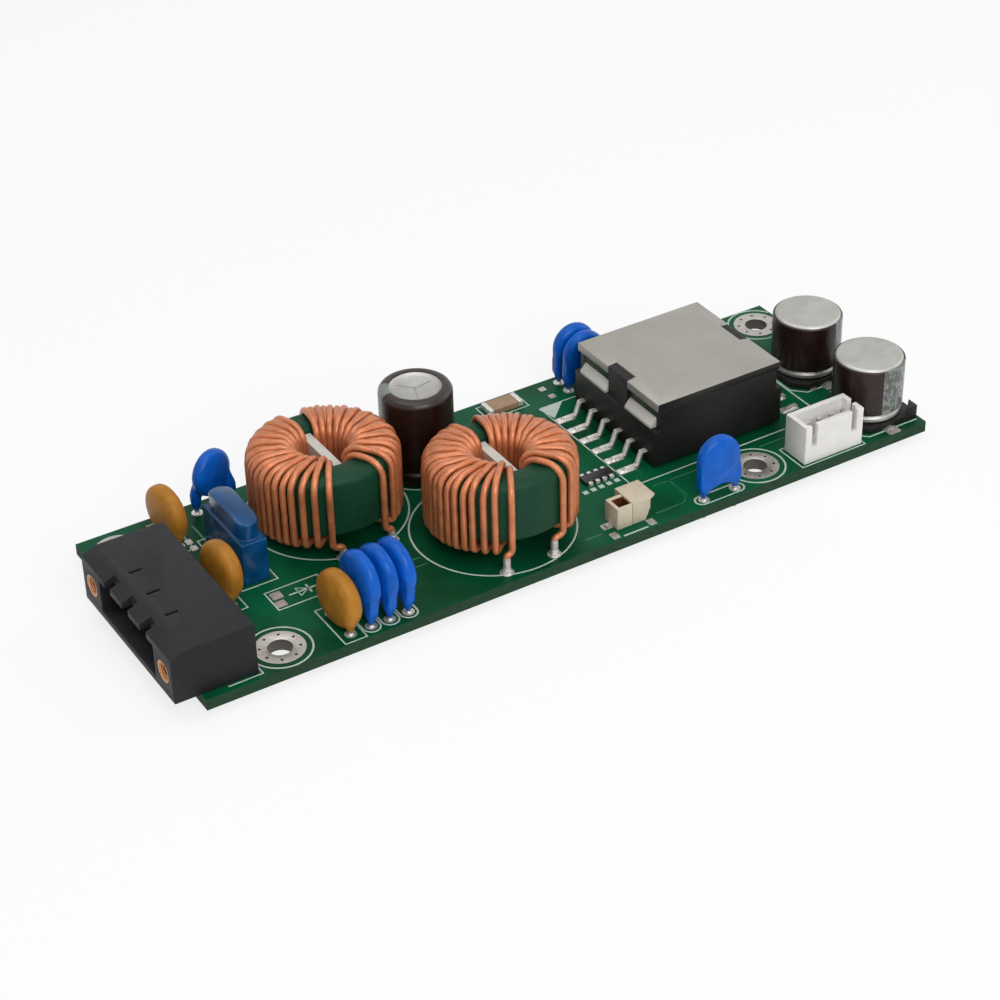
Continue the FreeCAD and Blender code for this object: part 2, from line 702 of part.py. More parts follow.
def blade_fuse():
    """A moulded blade fuse: a clear shell over one stamped strip whose blades pass the board."""
    half = "Sizes.fuse_length / 2"
    crown_half = f"({half} - Sizes.fuse_shoulder_inset)"
    skirt = [
        (f"-{half}", 0),
        (half, 0),
        (half, "Sizes.fuse_shoulder_height"),
        (f"-{half}", "Sizes.fuse_shoulder_height"),
    ]
    crown = [
        (f"-{crown_half}", "Sizes.fuse_shoulder_height"),
        (crown_half, "Sizes.fuse_shoulder_height"),
        (crown_half, "Sizes.fuse_height - Sizes.fuse_arch"),
        (f"{crown_half} / 2", "Sizes.fuse_height"),
        (f"-{crown_half} / 2", "Sizes.fuse_height"),
        (f"-{crown_half}", "Sizes.fuse_height - Sizes.fuse_arch"),
    ]
    lower = extrude("fuse_skirt", [skirt], "Sizes.fuse_thickness", FACING_X, True)
    arched = extrude("fuse_crown_side", [crown], "Sizes.fuse_crown_thickness", FACING_X, True)
    end_r = "Sizes.fuse_crown_thickness / 2"
    straight = f"2 * ({crown_half} - {end_r})"
    rounded = [centred_box("fuse_crown_middle", f"2 * {end_r}", straight, "Sizes.fuse_height")]
    for end, sign in (("near", "-"), ("far", "")):
        spot = f"{sign}{straight} / 2"
        rounded.append(
            prism(f"fuse_crown_{end}", end_r, "Sizes.fuse_height", 0, spot, 0, POST_SIDES)
        )
    upper = common("fuse_crown", arched, fuse("fuse_crown_plan", *rounded))
    slot = "Sizes.blade_thickness + 2 * Sizes.fuse_slot_clearance"
    room = "Sizes.fuse_length - 2 * Sizes.fuse_wall"
    hollow = centred_box("fuse_hollow", slot, room, "Sizes.fuse_shoulder_height")
    shell = cut("fuse_shell", fuse("fuse_block", lower, upper), hollow)
    node(on_board(shell, "Layout.fuse_x", "Layout.fuse_y"), "fuse_body")

    outer = f"({half} - Sizes.fuse_wall - Sizes.fuse_slot_clearance)"
    inner = f"({outer} - Sizes.blade_width)"
    foot = "-Sizes.board_thickness - Sizes.lead_length_below"
    top = "Sizes.fuse_shoulder_height - Sizes.fuse_slot_clearance"
    link = f"{top} - Sizes.fuse_link_height"
    strip = [
        (f"-{outer}", foot),
        (f"-{inner}", foot),
        (f"-{inner}", f"{link} - Sizes.fuse_link_height"),
        (f"-{inner} / 2", link),
        (f"{inner} / 2", f"{link} - Sizes.fuse_link_height"),
        (inner, f"{link} - Sizes.fuse_link_height"),
        (inner, foot),
        (outer, foot),
        (outer, top),
        (inner, top),
        (f"{inner} / 2", link),
        (f"-{inner} / 2", top),
        (f"-{outer}", top),
    ]
    element = extrude("fuse_strip", [strip], "Sizes.blade_thickness", FACING_X, True)
    node(on_board(element, "Layout.fuse_x", "Layout.fuse_y"), "fuse_element")
    middle = f"({outer} + {inner}) / 2"
    slots = []
    for sign in ("-", "+"):
        slots.append(
            rectangle(
                "Layout.fuse_x - Layout.middle_x",
                f"Layout.fuse_y - Layout.middle_y {sign} {middle}",
                "Sizes.blade_thickness + 2 * Sizes.drill_clearance",
                "Sizes.blade_width + 2 * Sizes.drill_clearance",
            )
        )
    return slots


def wire(path, radius):
    """A flat-sided tube along straight runs, mitred where two runs meet."""
    runs = [(end - start).normalize() for start, end in zip(path, path[1:])]
    side = runs[0].cross(FreeCAD.Vector(0.6, 0.8, 0)).normalize()
    other = runs[0].cross(side)
    corners = [2 * math.pi * number / WIRE_SIDES for number in range(WIRE_SIDES)]
    ring = [
        path[0] + side * (radius * math.cos(a)) + other * (radius * math.sin(a)) for a in corners
    ]
    rings = [ring]
    for place, run, following in zip(path[1:], runs, runs[1:] + [runs[-1]]):
        normal = (run + following).normalize()
        ring = [p + run * ((place - p).dot(normal) / run.dot(normal)) for p in ring]
        rings.append(ring)
    return flat_sided(rings)


def polar(radius, degrees, height):
    angle = math.radians(degrees)
    return FreeCAD.Vector(radius * math.cos(angle), radius * math.sin(angle), height)


def winding_path(shift):
    """Centre line of the right-hand winding, from its near lead to its far lead."""
    wire_r = value("Sizes.wire_d / 2")
    lift = wire_r + value("Sizes.wire_clearance")
    chamfer = value("Sizes.core_chamfer")
    easing = lift * (math.sqrt(2) - 1)
    outer = value("Sizes.core_d / 2") + lift
    shoulder = value("Sizes.core_d / 2") - chamfer + easing
    floor = value("Sizes.core_lift")
    roof = floor + value("Sizes.core_height")
    layer = 2 * wire_r
    inside = value("Sizes.core_bore / 2") - lift
    beside = value("Sizes.divider_thickness / 2") + wire_r + value("Sizes.wire_clearance")
    inner_gap = math.degrees(math.asin(beside / inside))
    turns = int(value("Sizes.winding_turns"))
    near = -90 + value("Sizes.near_gap_angle")
    far = 90 - value("Sizes.far_gap_angle")
    lead_x = value("Sizes.choke_lead_pitch / 2") + shift
    lead_y = value("Layout.choke_lead_y")
    tip = -value("Sizes.board_thickness + Sizes.lead_length_below")
    bend = floor - layer - lift
    path = [FreeCAD.Vector(lead_x, -lead_y, tip), FreeCAD.Vector(lead_x, -lead_y, bend)]
    for turn in range(turns):
        share = turn / (turns - 1)
        around = near + (far - near) * share
        within = -90 + inner_gap + (180 - 2 * inner_gap) * share
        second = turn % 2
        bore_r = inside - second * layer
        top = roof + lift + second * layer
        bottom = floor - lift - second * layer / 2
        over = around + (within - around) * (outer - shoulder) / (outer - bore_r)
        path.append(polar(outer, around, bottom))
        path.append(polar(outer, around, roof - chamfer + easing))
        path.append(polar(shoulder, over, top))
        path.append(polar(bore_r, within, top))
        path.append(polar(bore_r, within, bottom))
    path.append(FreeCAD.Vector(lead_x, lead_y, bend))
    path.append(FreeCAD.Vector(lead_x, lead_y, tip))
    return path


def choke(number, shift):
    """A coated ring core with two windings, kept apart by a plate across the bore."""
    label = f"choke_{number}"
    place = (f"Layout.choke_{number}_x", f"Layout.choke_{number}_y")
    radius = "Sizes.core_d / 2"
    neck = f"{radius} - Sizes.core_chamfer"
    lift = "Sizes.core_lift"
    top = f"{lift} + Sizes.core_height"
    pressed = taper(
        f"{label}_pressed",
        [
            (radius, 0, 0, lift),
            (radius, 0, 0, f"{top} - Sizes.core_chamfer"),
            (neck, 0, 0, top),
        ],
        ROUND_SIDES,
    )
    bore = prism(f"{label}_bore", "Sizes.core_bore / 2", top, sides=ROUND_SIDES)
    ring = cut(f"{label}_ring", pressed, bore)
    node(on_board(ring, *place), f"{label}_core")
    corner = "Sizes.divider_thickness / 2"
    bore = "Sizes.core_bore / 2 - Sizes.wire_clearance"
    reach = f"sqrt(pow({bore}; 2) - pow({corner}; 2))"
    plate = extrude(
        f"{label}_plate",
        [rectangle(0, 0, "Sizes.divider_thickness", f"2 * {reach}")],
        "Sizes.core_height - Sizes.divider_drop",
    )
    node(on_board(plate, *place, lift), f"{label}_divider")
    wire_r = value("Sizes.wire_d / 2")
    sideways = value(shift)
    right_path = winding_path(sideways)
    left_path = [FreeCAD.Vector(-p.x, p.y, p.z) for p in winding_path(-sideways)]
    for side, path in (("left", left_path), ("right", right_path)):
        coil = doc.addObject("Part::Feature", f"{label}_coil_{side}")
        coil.Shape = wire(path, wire_r)
        node(on_board(coil, *place), f"{label}_winding_{side}")
        sign = "-" if side == "left" else "+"
        for end in ("-", "+"):
            drill(
                f"{place[0]} {sign} Sizes.choke_lead_pitch / 2 + ({shift})",
                f"{place[1]} {end} Layout.choke_lead_y",
                "Sizes.wire_d / 2",
            )


def tall_capacitor():
    """A radial aluminium electrolytic: a drawn can with a scored top in a shrunk sleeve."""
    place = ("Layout.tall_x", "Layout.tall_y")
    outer = "Sizes.tall_d / 2"
    can = f"({outer} - Sizes.sleeve_wall)"
    low = "Sizes.tall_seat"
    top = "Sizes.tall_height"
    dish = f"{can} - Sizes.sleeve_lip"
    recess = f"{top} - Sizes.top_recess"
    def crimped(name, radius, end):
        """An upright round outline with a groove rolled in near its foot."""
        return taper(
            name,
            [
                (radius, 0, 0, low),
                (radius, 0, 0, "Sizes.crimp_height - Sizes.crimp_half_width"),
                (f"{radius} - Sizes.crimp_depth", 0, 0, "Sizes.crimp_height"),
                (radius, 0, 0, "Sizes.crimp_height + Sizes.crimp_half_width"),
                (radius, 0, 0, end),
            ],
            ROUND_SIDES,
        )

    recessed = prism("tall_recess", dish, top, 0, 0, recess, ROUND_SIDES)
    drawn = cut("tall_can", crimped("tall_drawn", can, top), recessed)
    scores = []
    for number in range(3):
        turn = FreeCAD.Rotation(FreeCAD.Vector(0, 0, 1), 120 * number + 30)
        score = extrude(
            f"vent_score_{number + 1}",
            [rectangle("Sizes.vent_length / 2", 0, "Sizes.vent_length", "Sizes.vent_width")],
            "Sizes.top_recess + Sizes.vent_depth",
        )
        scores.append(put(score, 0, 0, f"{recess} - Sizes.vent_depth", turn))
    scored = cut("tall_can_scored", drawn, fuse("vent_scores", *scores))
    node(on_board(scored, *place), "tall_capacitor_can")
    lip = f"{top} + Sizes.sleeve_wall"
    film = cut("tall_film", crimped("tall_shrunk", outer, lip), crimped("tall_room", can, top))
    skin = cut("tall_skin", film, prism("tall_window", dish, top, 0, 0, top, ROUND_SIDES))
    node(on_board(skin, *place), "tall_capacitor_sleeve")
    leads = []
    for sign in ("-", "+"):
        spot = f"{sign} Sizes.tall_lead_pitch / 2"
        foot = "-Sizes.board_thickness - Sizes.lead_length_below"
        reach = "Sizes.tall_seat + Sizes.board_thickness + Sizes.lead_length_below"
        leads.append(prism("tall_lead", "Sizes.lead_d / 2", reach, f"0 {spot}", 0, foot))
        drill(f"{place[0]} {spot}", place[1], "Sizes.lead_d / 2")
    node(on_board(group("tall_leads", leads), *place), "tall_capacitor_leads")


def transformer():
    """A low transformer: two ferrite halves round a coil former with gull-wing pins."""
    place = ("Layout.transformer_x", "Layout.transformer_y")
    length = "Sizes.plate_length"
    width = "Sizes.plate_width"
    face = "Layout.leg_face"
    core_width = "2 * (Layout.case_inside - Sizes.wire_clearance)"

    slab = centred_box(
        "upper_slab",
        length,
        width,
        "Sizes.plate_thickness - Sizes.plate_bevel",
        0,
        0,
        "Layout.plate_under",
    )
    crown = doc.addObject("Part::Wedge", "upper_crown")
    bind(
        crown,
        Xmin=f"-{length} / 2",
        Xmax=f"{length} / 2",
        Ymin=0,
        Ymax="Sizes.plate_bevel",
        Zmin=f"-{width} / 2",
        Zmax=f"{width} / 2",
        X2min=f"-{length} / 2 + Sizes.plate_border",
        X2max=f"{length} / 2 - Sizes.plate_border",
        Z2min=f"-{width} / 2 + Sizes.plate_border",
        Z2max=f"{width} / 2 - Sizes.plate_border",
    )
    put(crown, 0, 0, "Sizes.transformer_height - Sizes.plate_bevel", FACING_Y)
    post_foot = "Layout.leg_joint - Layout.web_height"
    post_r = "Layout.post_r"
    upper_post = prism(
        "upper_post", post_r, "Sizes.upper_leg_height", 0, 0, "Layout.leg_joint", POST_SIDES
    )
    upper = [slab, crown, upper_post]
    lower = [
        centred_box(
            "lower_slab",
            f"2 * {face}",
            core_width,
            "Sizes.lower_plate_thickness",
            0,
            0,
            "Sizes.lower_plate_lift",
        ),
        prism("lower_post", post_r, post_foot, 0, 0, "Layout.web_height", POST_SIDES),
    ]
    ledge_top = f"{face} + Sizes.ledge_flare"
    flared = [
        (f"{face} - Sizes.leg_thickness", "Layout.web_height"),
        (face, "Layout.web_height"),
        (face, "Layout.ledge_under"),
        (ledge_top, "Layout.ledge_under"),
        (ledge_top, "Layout.ledge_under + Sizes.ledge_lip"),
        (face, "Layout.leg_joint"),
        (f"{face} - Sizes.leg_thickness", "Layout.leg_joint"),
    ]
    notches = []
    for side, sign, turn in (("right", "+", VERTICAL), ("left", "-", HALF_TURN)):
        middle = f"{sign} ({face} - Sizes.leg_thickness / 2)"
        upper.append(
            centred_box(
                f"upper_leg_{side}",
                "Sizes.leg_thickness",
                core_width,
                "Sizes.upper_leg_height",
                middle,
                0,
                "Layout.leg_joint",
            )
        )
        leg = extrude(f"lower_leg_{side}", [flared], core_width, FACING_Y, True)
        lower.append(put(leg, 0, 0, 0, turn))
        notches.append(
            centred_box(
                f"notch_{side}",
                "2 * Sizes.notch_depth",
                "Sizes.notch_width",
                "Sizes.transformer_height",
                f"{sign} {length} / 2",
                0,
                "Layout.ledge_under",
            )
        )
    notch_pair = fuse("notch_pair", *notches)
    upper_half = cut("upper_half", fuse("upper_block", *upper), notch_pair)
    node(on_board(upper_half, *place), "transformer_core_upper")
    lower_half = cut("lower_half", fuse("lower_block", *lower), notch_pair)
    node(on_board(lower_half, *place), "transformer_core_lower")

    # gull-wing pins, moulded into the ends of the coil former
    sheet = "Sizes.pin_sheet"
    wing = [
        ("Layout.case_face - Sizes.pin_root", "Sizes.pin_height"),
        ("Layout.pin_bend", "Sizes.pin_height"),
        ("Layout.pin_heel", 0),
        ("Layout.pin_end", 0),
        ("Layout.pin_end", sheet),
        (f"Layout.pin_heel + {sheet}", sheet),
        (f"Layout.pin_bend + {sheet}", f"Sizes.pin_height + {sheet}"),
        ("Layout.case_face - Sizes.pin_root", f"Sizes.pin_height + {sheet}"),
    ]
    count = int(value("Sizes.pins_per_side"))
    pins = []
    for side, turn in (("right", VERTICAL), ("left", HALF_TURN)):
        for number in range(count):
            spot = f"({number} - ({count} - 1) / 2) * Sizes.pin_pitch"
            pin = extrude(f"pin_{side}_{number + 1}", [wing], "Sizes.pin_width", FACING_Y, True)
            pins.append(put(pin, 0, spot, 0, turn))
    pin_rows = group("transformer_pin_rows", pins)

    # coil former: outer walls, a web with a tube for the centre posts, and the pin rails
    inside = "2 * Layout.case_inside"
    skirt = centred_box(
        "case_skirt",
        "2 * Layout.case_face",
        width,
        "Layout.ledge_under - Sizes.case_lift",
        0,
        0,
        "Sizes.case_lift",
    )
    walls = centred_box(
        "case_walls",
        f"2 * {face}",
        width,
        "Layout.plate_under - Layout.ledge_under",
        0,
        0,
        "Layout.ledge_under",
    )
    room = centred_box(
        "case_room",
        f"2 * {face}",
        inside,
        "Layout.plate_under - Sizes.case_lift",
        0,
        0,
        "Sizes.case_lift",
    )
    shell = cut("case_shell", fuse("case_block", skirt, walls), room)
    tab_depth = "(Sizes.notch_depth - Sizes.tab_clearance - Sizes.tab_setback)"
    tabs = [
        centred_box(
            f"case_tab_{side}",
            tab_depth,
            "Sizes.notch_width - 2 * Sizes.tab_clearance",
            "Sizes.transformer_height - Sizes.tab_drop - Layout.ledge_under",
            f"{sign} ({length} / 2 - Sizes.tab_setback - {tab_depth} / 2)",
            0,
            "Layout.ledge_under",
        )
        for side, sign in (("left", "-"), ("right", "+"))
    ]
    clear = f"2 * ({face} - Sizes.leg_thickness - Sizes.post_clearance)"
    web = centred_box("former_web_plate", clear, inside, "Sizes.former_web", 0, 0, "Layout.web_height")
    tube = prism(
        "former_tube",
        "Layout.former_r",
        "Layout.plate_under - Layout.web_height",
        0,
        0,
        "Layout.web_height",
        POST_SIDES,
    )
    bore = prism(
        "former_bore",
        "Layout.post_r + Sizes.post_clearance",
        "Layout.plate_under",
        0,
        0,
        "Sizes.case_lift",
        POST_SIDES,
    )
    hollow = cut("former_hollow", fuse("former_block", shell, web, tube, *tabs), bore)
    node(on_board(cut("former", hollow, pin_rows), *place), "transformer_bobbin")
    reach = "Layout.plate_under - Layout.coil_under - Sizes.post_clearance"
    turns = prism("coil_turns", "Layout.coil_r", reach, sides=POST_SIDES)
    middle = prism("coil_middle", "Layout.former_r", reach, sides=POST_SIDES)
    coil = cut("transformer_coil", turns, middle)
    node(on_board(coil, *place, "Layout.coil_under"), "transformer_winding")
    node(on_board(group("transformer_pin_set", [pin_rows]), *place), "transformer_pins")


def output_header():
    """A shrouded four-way header with straight pins."""
    place = ("Layout.output_x", "Layout.output_y")
    length = "Layout.output_length"
    inner_length = f"{length} - 2 * Sizes.output_wall"
    inner_depth = "Sizes.output_depth - 2 * Sizes.output_wall"
    side = "Sizes.output_pin_side"
    pins = []
    count = int(value("Sizes.output_poles"))
    foot = "-Sizes.board_thickness - Sizes.lead_length_below"
    reach = f"Sizes.output_floor + Sizes.output_pin_above - ({foot})"
    for number in range(count):
        spot = f"({number} - ({count} - 1) / 2) * Sizes.output_pitch"
        pins.append(centred_box(f"output_pin_{number + 1}", side, side, reach, spot, 0, foot))
        drill(f"{place[0]} + {spot}", place[1], f"{side} * sqrt(2) / 2")
    row = group("output_pin_row", pins)
    block = centred_box("output_block", length, "Sizes.output_depth", "Sizes.output_height")
    room = centred_box(
        "output_room", inner_length, inner_depth, "Sizes.output_height", 0, 0, "Sizes.output_floor"
    )
    slots = []
    for name, sign in (("left", "-"), ("right", "+")):
        slots.append(
            centred_box(
                f"output_slot_{name}",
                "Sizes.output_slot_width",
                "2 * Sizes.output_wall",
                "Sizes.output_height",
                f"{sign} ({length} / 2 - 2 * Sizes.output_wall)",
                "-Sizes.output_depth / 2",
                "Sizes.output_height - Sizes.output_slot_depth",
            )
        )
    key = centred_box(
        "output_key",
        "2 * Sizes.output_wall",
        "Sizes.output_slot_width",
        "Sizes.output_height",
        f"{length} / 2",
        0,
        "Sizes.output_height - Sizes.output_slot_depth",
    )
    opened = cut("output_shell", block, fuse("output_cuts", room, key, *slots))
    node(on_board(cut("output_shroud", opened, row), *place), "output_header_housing")
    node(on_board(group("output_pin_set", [row]), *place), "output_header_pins")


def two_way_socket():
    """A small surface-mount socket: a low block with an open mouth beside a deeper capped one."""
    place = ("Layout.socket_x", "Layout.socket_y")
    half = "Sizes.socket_length / 2"
    near = "(-Sizes.socket_depth / 2)"
    joint = f"(Sizes.socket_low_length - {half})"
    end = f"({half} - Sizes.socket_cap_overhang)"
    top = "(Sizes.socket_height + Sizes.socket_cap_rise)"
    side = [
        (joint, 0),
        (f"{end} - Sizes.socket_toe_length", 0),
        (end, "Sizes.socket_toe_height"),
        (end, f"{top} - Sizes.socket_cap_sheet"),
        (joint, f"{top} - Sizes.socket_cap_sheet"),
    ]
    closed = extrude("socket_closed", [side], "Sizes.socket_depth", FACING_Y, True)
    plan = [
        (joint, near),
        (end, near),
        (half, f"{near} + Sizes.socket_cap_corner"),
        (half, f"-{near}"),
        (joint, f"-{near}"),
    ]
    cap = extrude("socket_cap", [plan], "Sizes.socket_cap_sheet")
    put(cap, 0, 0, f"{top} - Sizes.socket_cap_sheet")
    low_y = f"({near} + Sizes.socket_low_depth / 2)"
    low = centred_box(
        "socket_low",
        "Sizes.socket_low_length",
        "Sizes.socket_low_depth",
        "Sizes.socket_height",
        f"{joint} - Sizes.socket_low_length / 2",
        low_y,
    )
    mouth = centred_box(
        "socket_mouth",
        "Sizes.socket_low_length - Sizes.socket_wall",
        "Sizes.socket_low_depth - 2 * Sizes.socket_wall",
        "Sizes.socket_height",
        f"{joint} - (Sizes.socket_low_length - Sizes.socket_wall) / 2",
        low_y,
        "Sizes.socket_height - Sizes.socket_mouth_depth",
    )
    seam = centred_box(
        "socket_groove", "Sizes.socket_seam", "2 * Sizes.socket_seam", top, joint, near
    )
    sheet = "Sizes.contact_sheet"
    contacts = []
    toe = f"({end} - Sizes.socket_toe_length)"
    for name, edge, turn in (("right", toe, VERTICAL), ("left", half, HALF_TURN)):
        tab = [
            (f"{edge} - Sizes.contact_foot", 0),
            (f"{edge} + Sizes.contact_foot", 0),
            (f"{edge} + Sizes.contact_foot", sheet),
            (f"{edge} - Sizes.contact_foot", sheet),
        ]
        strip = extrude(f"contact_{name}", [tab], "Sizes.contact_width", FACING_Y, True)
        contacts.append(put(strip, 0, low_y, 0, turn))
    pair = group("contact_pair", contacts)
    block = fuse("socket_solid", closed, cap, low)
    opened = cut("socket_shell", block, fuse("socket_cuts", mouth, seam))
    node(on_board(cut("socket_seated", opened, pair), *place), "socket_housing")
    node(on_board(group("contact_set", [pair]), *place), "socket_contacts")


def output_capacitor(number):
    """A surface-mount aluminium electrolytic on a square moulded base."""
    label = f"output_capacitor_{number}"
    place = ("Layout.capacitor_x", f"Layout.capacitor_{number}_y")
    outer = "Sizes.can_d / 2"
    can = f"({outer} - Sizes.sleeve_wall)"
    low = "Sizes.can_bottom"
    high = "Sizes.can_top"
    rim = f"{low} + Sizes.can_rim_height"
    drawn = taper(
        f"{label}_drawn",
        [
            (can, 0, 0, low),
            (can, 0, 0, f"{high} - Sizes.can_edge"),
            (f"{can} - Sizes.can_edge", 0, 0, high),
        ],
        ROUND_SIDES,
    )
    node(on_board(drawn, *place), f"{label}_can")
    reach = f"{high} - Sizes.can_edge - ({rim})"
    film = prism(f"{label}_film", outer, reach, sides=ROUND_SIDES)
    room = prism(f"{label}_room", can, reach, sides=ROUND_SIDES)
    node(on_board(cut(f"{label}_skin", film, room), *place, rim), f"{label}_sleeve")
    half = "Sizes.base_side / 2"
    corner = "Sizes.base_corner"
    plan = [
        (f"-{half} + {corner}", f"-{half}"),
        (half, f"-{half}"),
        (half, half),
        (f"-{half} + {corner}", half),
        (f"-{half}", f"{half} - {corner}"),
        (f"-{half}", f"-{half} + {corner}"),
    ]
    slab = extrude(f"{label}_slab", [plan], "Sizes.can_bottom")
    posts = []
    for name, y in (("near", "-"), ("far", "")):
        triangle = [
            (half, f"{y}{half}"),
            (half, f"{y}({half} - {corner})"),
            (f"{half} - {corner}", f"{y}{half}"),
        ]
        post = extrude(f"{label}_post_{name}", [triangle], "Sizes.base_corner_height")
        posts.append(post)
    sheet = "Sizes.terminal_sheet"
    terminals = []
    for end, turn in (("far", VERTICAL), ("near", HALF_TURN)):
        reach = f"{half} + Sizes.terminal_reach - Sizes.terminal_width"
        strip = box(
            f"{label}_{end}",
            "Sizes.terminal_width",
            reach,
            sheet,
            "-Sizes.terminal_width / 2",
            "Sizes.terminal_width",
            0,
        )
        spun = group(f"{label}_{end}_turned", [strip])
        terminals.append(put(spun, 0, 0, 0, turn))
    pair = group(f"{label}_pair", terminals)
    moulded = fuse(f"{label}_moulded", slab, *posts)
    node(on_board(cut(f"{label}_foot", moulded, pair), *place), f"{label}_base")
    node(on_board(group(f"{label}_strips", [pair]), *place), f"{label}_terminals")


def ended_chip(name, length, width, height, end):
    """The ceramic middle of a chip and its two metal ends, on the origin."""
    outline = rectangle(0, 0, f"{length} - 2 * ({end})", width)
    middle = extrude(f"{name}_middle", [outline], height)
    ends = [
        centred_box(f"{name}_end_{side}", end, width, height, f"{sign} ({length} - {end}) / 2")
        for side, sign in (("left", "-"), ("right", "+"))
    ]
    return middle, ends


def chips():
    """The larger surface-mount chip, the resistor array and a few small chips."""
    middle, ends = ended_chip(
        "chip", "Sizes.chip_length", "Sizes.chip_width", "Sizes.chip_height", "Sizes.chip_end"
    )
    place = ("Layout.chip_x", "Layout.chip_y")
    node(on_board(middle, *place), "chip_capacitor")
    node(on_board(group("chip_ends", ends), *place), "chip_capacitor_ends")

    place = ("Layout.array_x", "Layout.array_y")
    length = "Sizes.array_length"
    width = "Sizes.array_width"
    height = "Sizes.array_height"
    block = extrude("array_block", [rectangle(0, 0, length, width)], height)
    node(on_board(block, *place), "resistor_array")
    caps = []
    for column in range(4):
        for side, sign in (("near", "-"), ("far", "+")):
            caps.append(
                centred_box(
                    f"array_cap_{side}_{column + 1}",
                    "Sizes.array_terminal",
                    "Sizes.array_terminal_reach",
                    height,
                    f"({column} - 1.5) * Sizes.array_pitch",
                    f"{sign} ({width} + Sizes.array_terminal_reach) / 2",
                )
            )
    node(on_board(group("array_caps", caps), *place), "resistor_array_terminals")


def circuit_board(slots):
    """The laminate, drilled for the screws and for every lead that passes through it."""
    body = doc.addObject("PartDesign::Body", "laminate")
    blank = rectangle(0, 0, "Layout.board_length", "Sizes.board_width")
    pad(body, "blank", body_sketch(body, "edge", "XY_Plane", [blank]), "Sizes.board_thickness")
    screws = [
        ("Layout.screw_1_x", "Sizes.screw_edge"),
        ("Layout.screw_2_x", "Sizes.screw_edge"),
        ("Layout.screw_3_x", "Layout.screw_far_y"),
        ("Sizes.screw_edge", "Layout.screw_far_y"),
    ]
    circles = [
        (f"{x} - Layout.middle_x", f"{y} - Layout.middle_y", "Sizes.screw_hole_d / 2")
        for x, y in screws
    ]
    holes = body_sketch(body, "screw_holes", "XY_Plane", circles)
    pocket(body, "screw_cuts", holes, "Sizes.board_thickness", reverse=True)
    openings = body_sketch(body, "blade_slots", "XY_Plane", slots)
    pocket(body, "blade_cuts", openings, "Sizes.board_thickness", reverse=True)
    holes = [
        prism(
            f"drill_{number}",
            radius,
            "Sizes.board_thickness",
            f"{x} - Layout.middle_x",
            f"{y} - Layout.middle_y",
        )
        for number, (x, y, radius) in enumerate(drills, start=1)
    ]
    node(cut("drilled_board", body, group("drill_set", holes)), "circuit_board")


input_header()
disc_capacitor("ochre_disc_1", "ochre", "Layout.ochre_x", "Layout.ochre_1_y", "Y")
disc_capacitor("ochre_disc_2", "ochre", "Layout.ochre_x", "Layout.ochre_2_y", "Y")
disc_capacitor("ochre_disc_3", "ochre", "Layout.ochre_3_x", "Layout.ochre_3_y", "Y")
for number in range(3):
    column = f"Layout.blue_1_x + {number} * Layout.blue_step"
    disc_capacitor(f"blue_disc_{number + 1}", "blue", column, "Layout.blue_y", "Y")
disc_capacitor("blue_disc_4", "small_blue", "Layout.small_1_x", "Layout.small_1_y", "X")
disc_capacitor("blue_disc_5", "small_blue", "Layout.small_2_x", "Layout.small_2_y", "X")
disc_capacitor("blue_disc_6", "small_blue", "Layout.small_2_x", "Layout.small_3_y", "X")
disc_capacitor("blue_disc_7", "small_blue", "Layout.small_4_x", "Layout.small_4_y", "X")
blade_slots = blade_fuse()
choke(1, "Sizes.choke_lead_shift")
choke(2, "-Sizes.choke_lead_shift")
tall_capacitor()
transformer()
output_header()
two_way_socket()
output_capacitor(1)
output_capacitor(2)
chips()
circuit_board(blade_slots)
doc.recompute()

for thing in doc.Objects:
    if "Invalid" in thing.State or "Error" in thing.State:
        raise RuntimeError(f"{thing.Label} was not built: {thing.State}")
for piece in pieces:
    if piece.Shape.isNull() or not piece.Shape.isValid():
        raise RuntimeError(f"{piece.Label} has no sound shape")

os.makedirs("parts", exist_ok=True)
for piece in pieces:
    piece.Shape.exportStep(os.path.join("parts", piece.Label + ".step"))
print(f"{len(pieces)} pieces")
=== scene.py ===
"""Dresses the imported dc-dc converter: finishes, smooth wire, printed lines and solder.

Places are millimetres from the board's near left corner and its top face, as at() takes them.
"""

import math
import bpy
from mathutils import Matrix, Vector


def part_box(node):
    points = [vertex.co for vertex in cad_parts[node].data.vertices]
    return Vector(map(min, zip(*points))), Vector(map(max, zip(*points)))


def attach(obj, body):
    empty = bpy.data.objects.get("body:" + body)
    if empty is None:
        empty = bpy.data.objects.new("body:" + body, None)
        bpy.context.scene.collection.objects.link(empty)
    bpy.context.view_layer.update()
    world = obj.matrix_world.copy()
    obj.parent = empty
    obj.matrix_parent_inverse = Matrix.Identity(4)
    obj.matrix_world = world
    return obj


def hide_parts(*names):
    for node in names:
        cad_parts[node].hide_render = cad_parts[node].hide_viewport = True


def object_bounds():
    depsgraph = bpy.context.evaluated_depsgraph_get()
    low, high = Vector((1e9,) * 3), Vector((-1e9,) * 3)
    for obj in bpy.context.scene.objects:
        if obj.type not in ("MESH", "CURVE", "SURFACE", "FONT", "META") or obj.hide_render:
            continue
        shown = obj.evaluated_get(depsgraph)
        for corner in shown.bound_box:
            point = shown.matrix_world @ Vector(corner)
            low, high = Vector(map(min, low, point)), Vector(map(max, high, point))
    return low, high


bl_info = {
    "name": "Dc-dc converter looks",
    "version": (1, 0, 0),
    "blender": (4, 5, 0),
    "location": "3D View > Sidebar > Converter",
    "description": "Finishes and fine detail for an open-frame dc-dc converter",
    "category": "Object",
}

import bmesh
import bpy
from bpy.props import FloatProperty, FloatVectorProperty, IntProperty, PointerProperty
from mathutils import Matrix, Vector

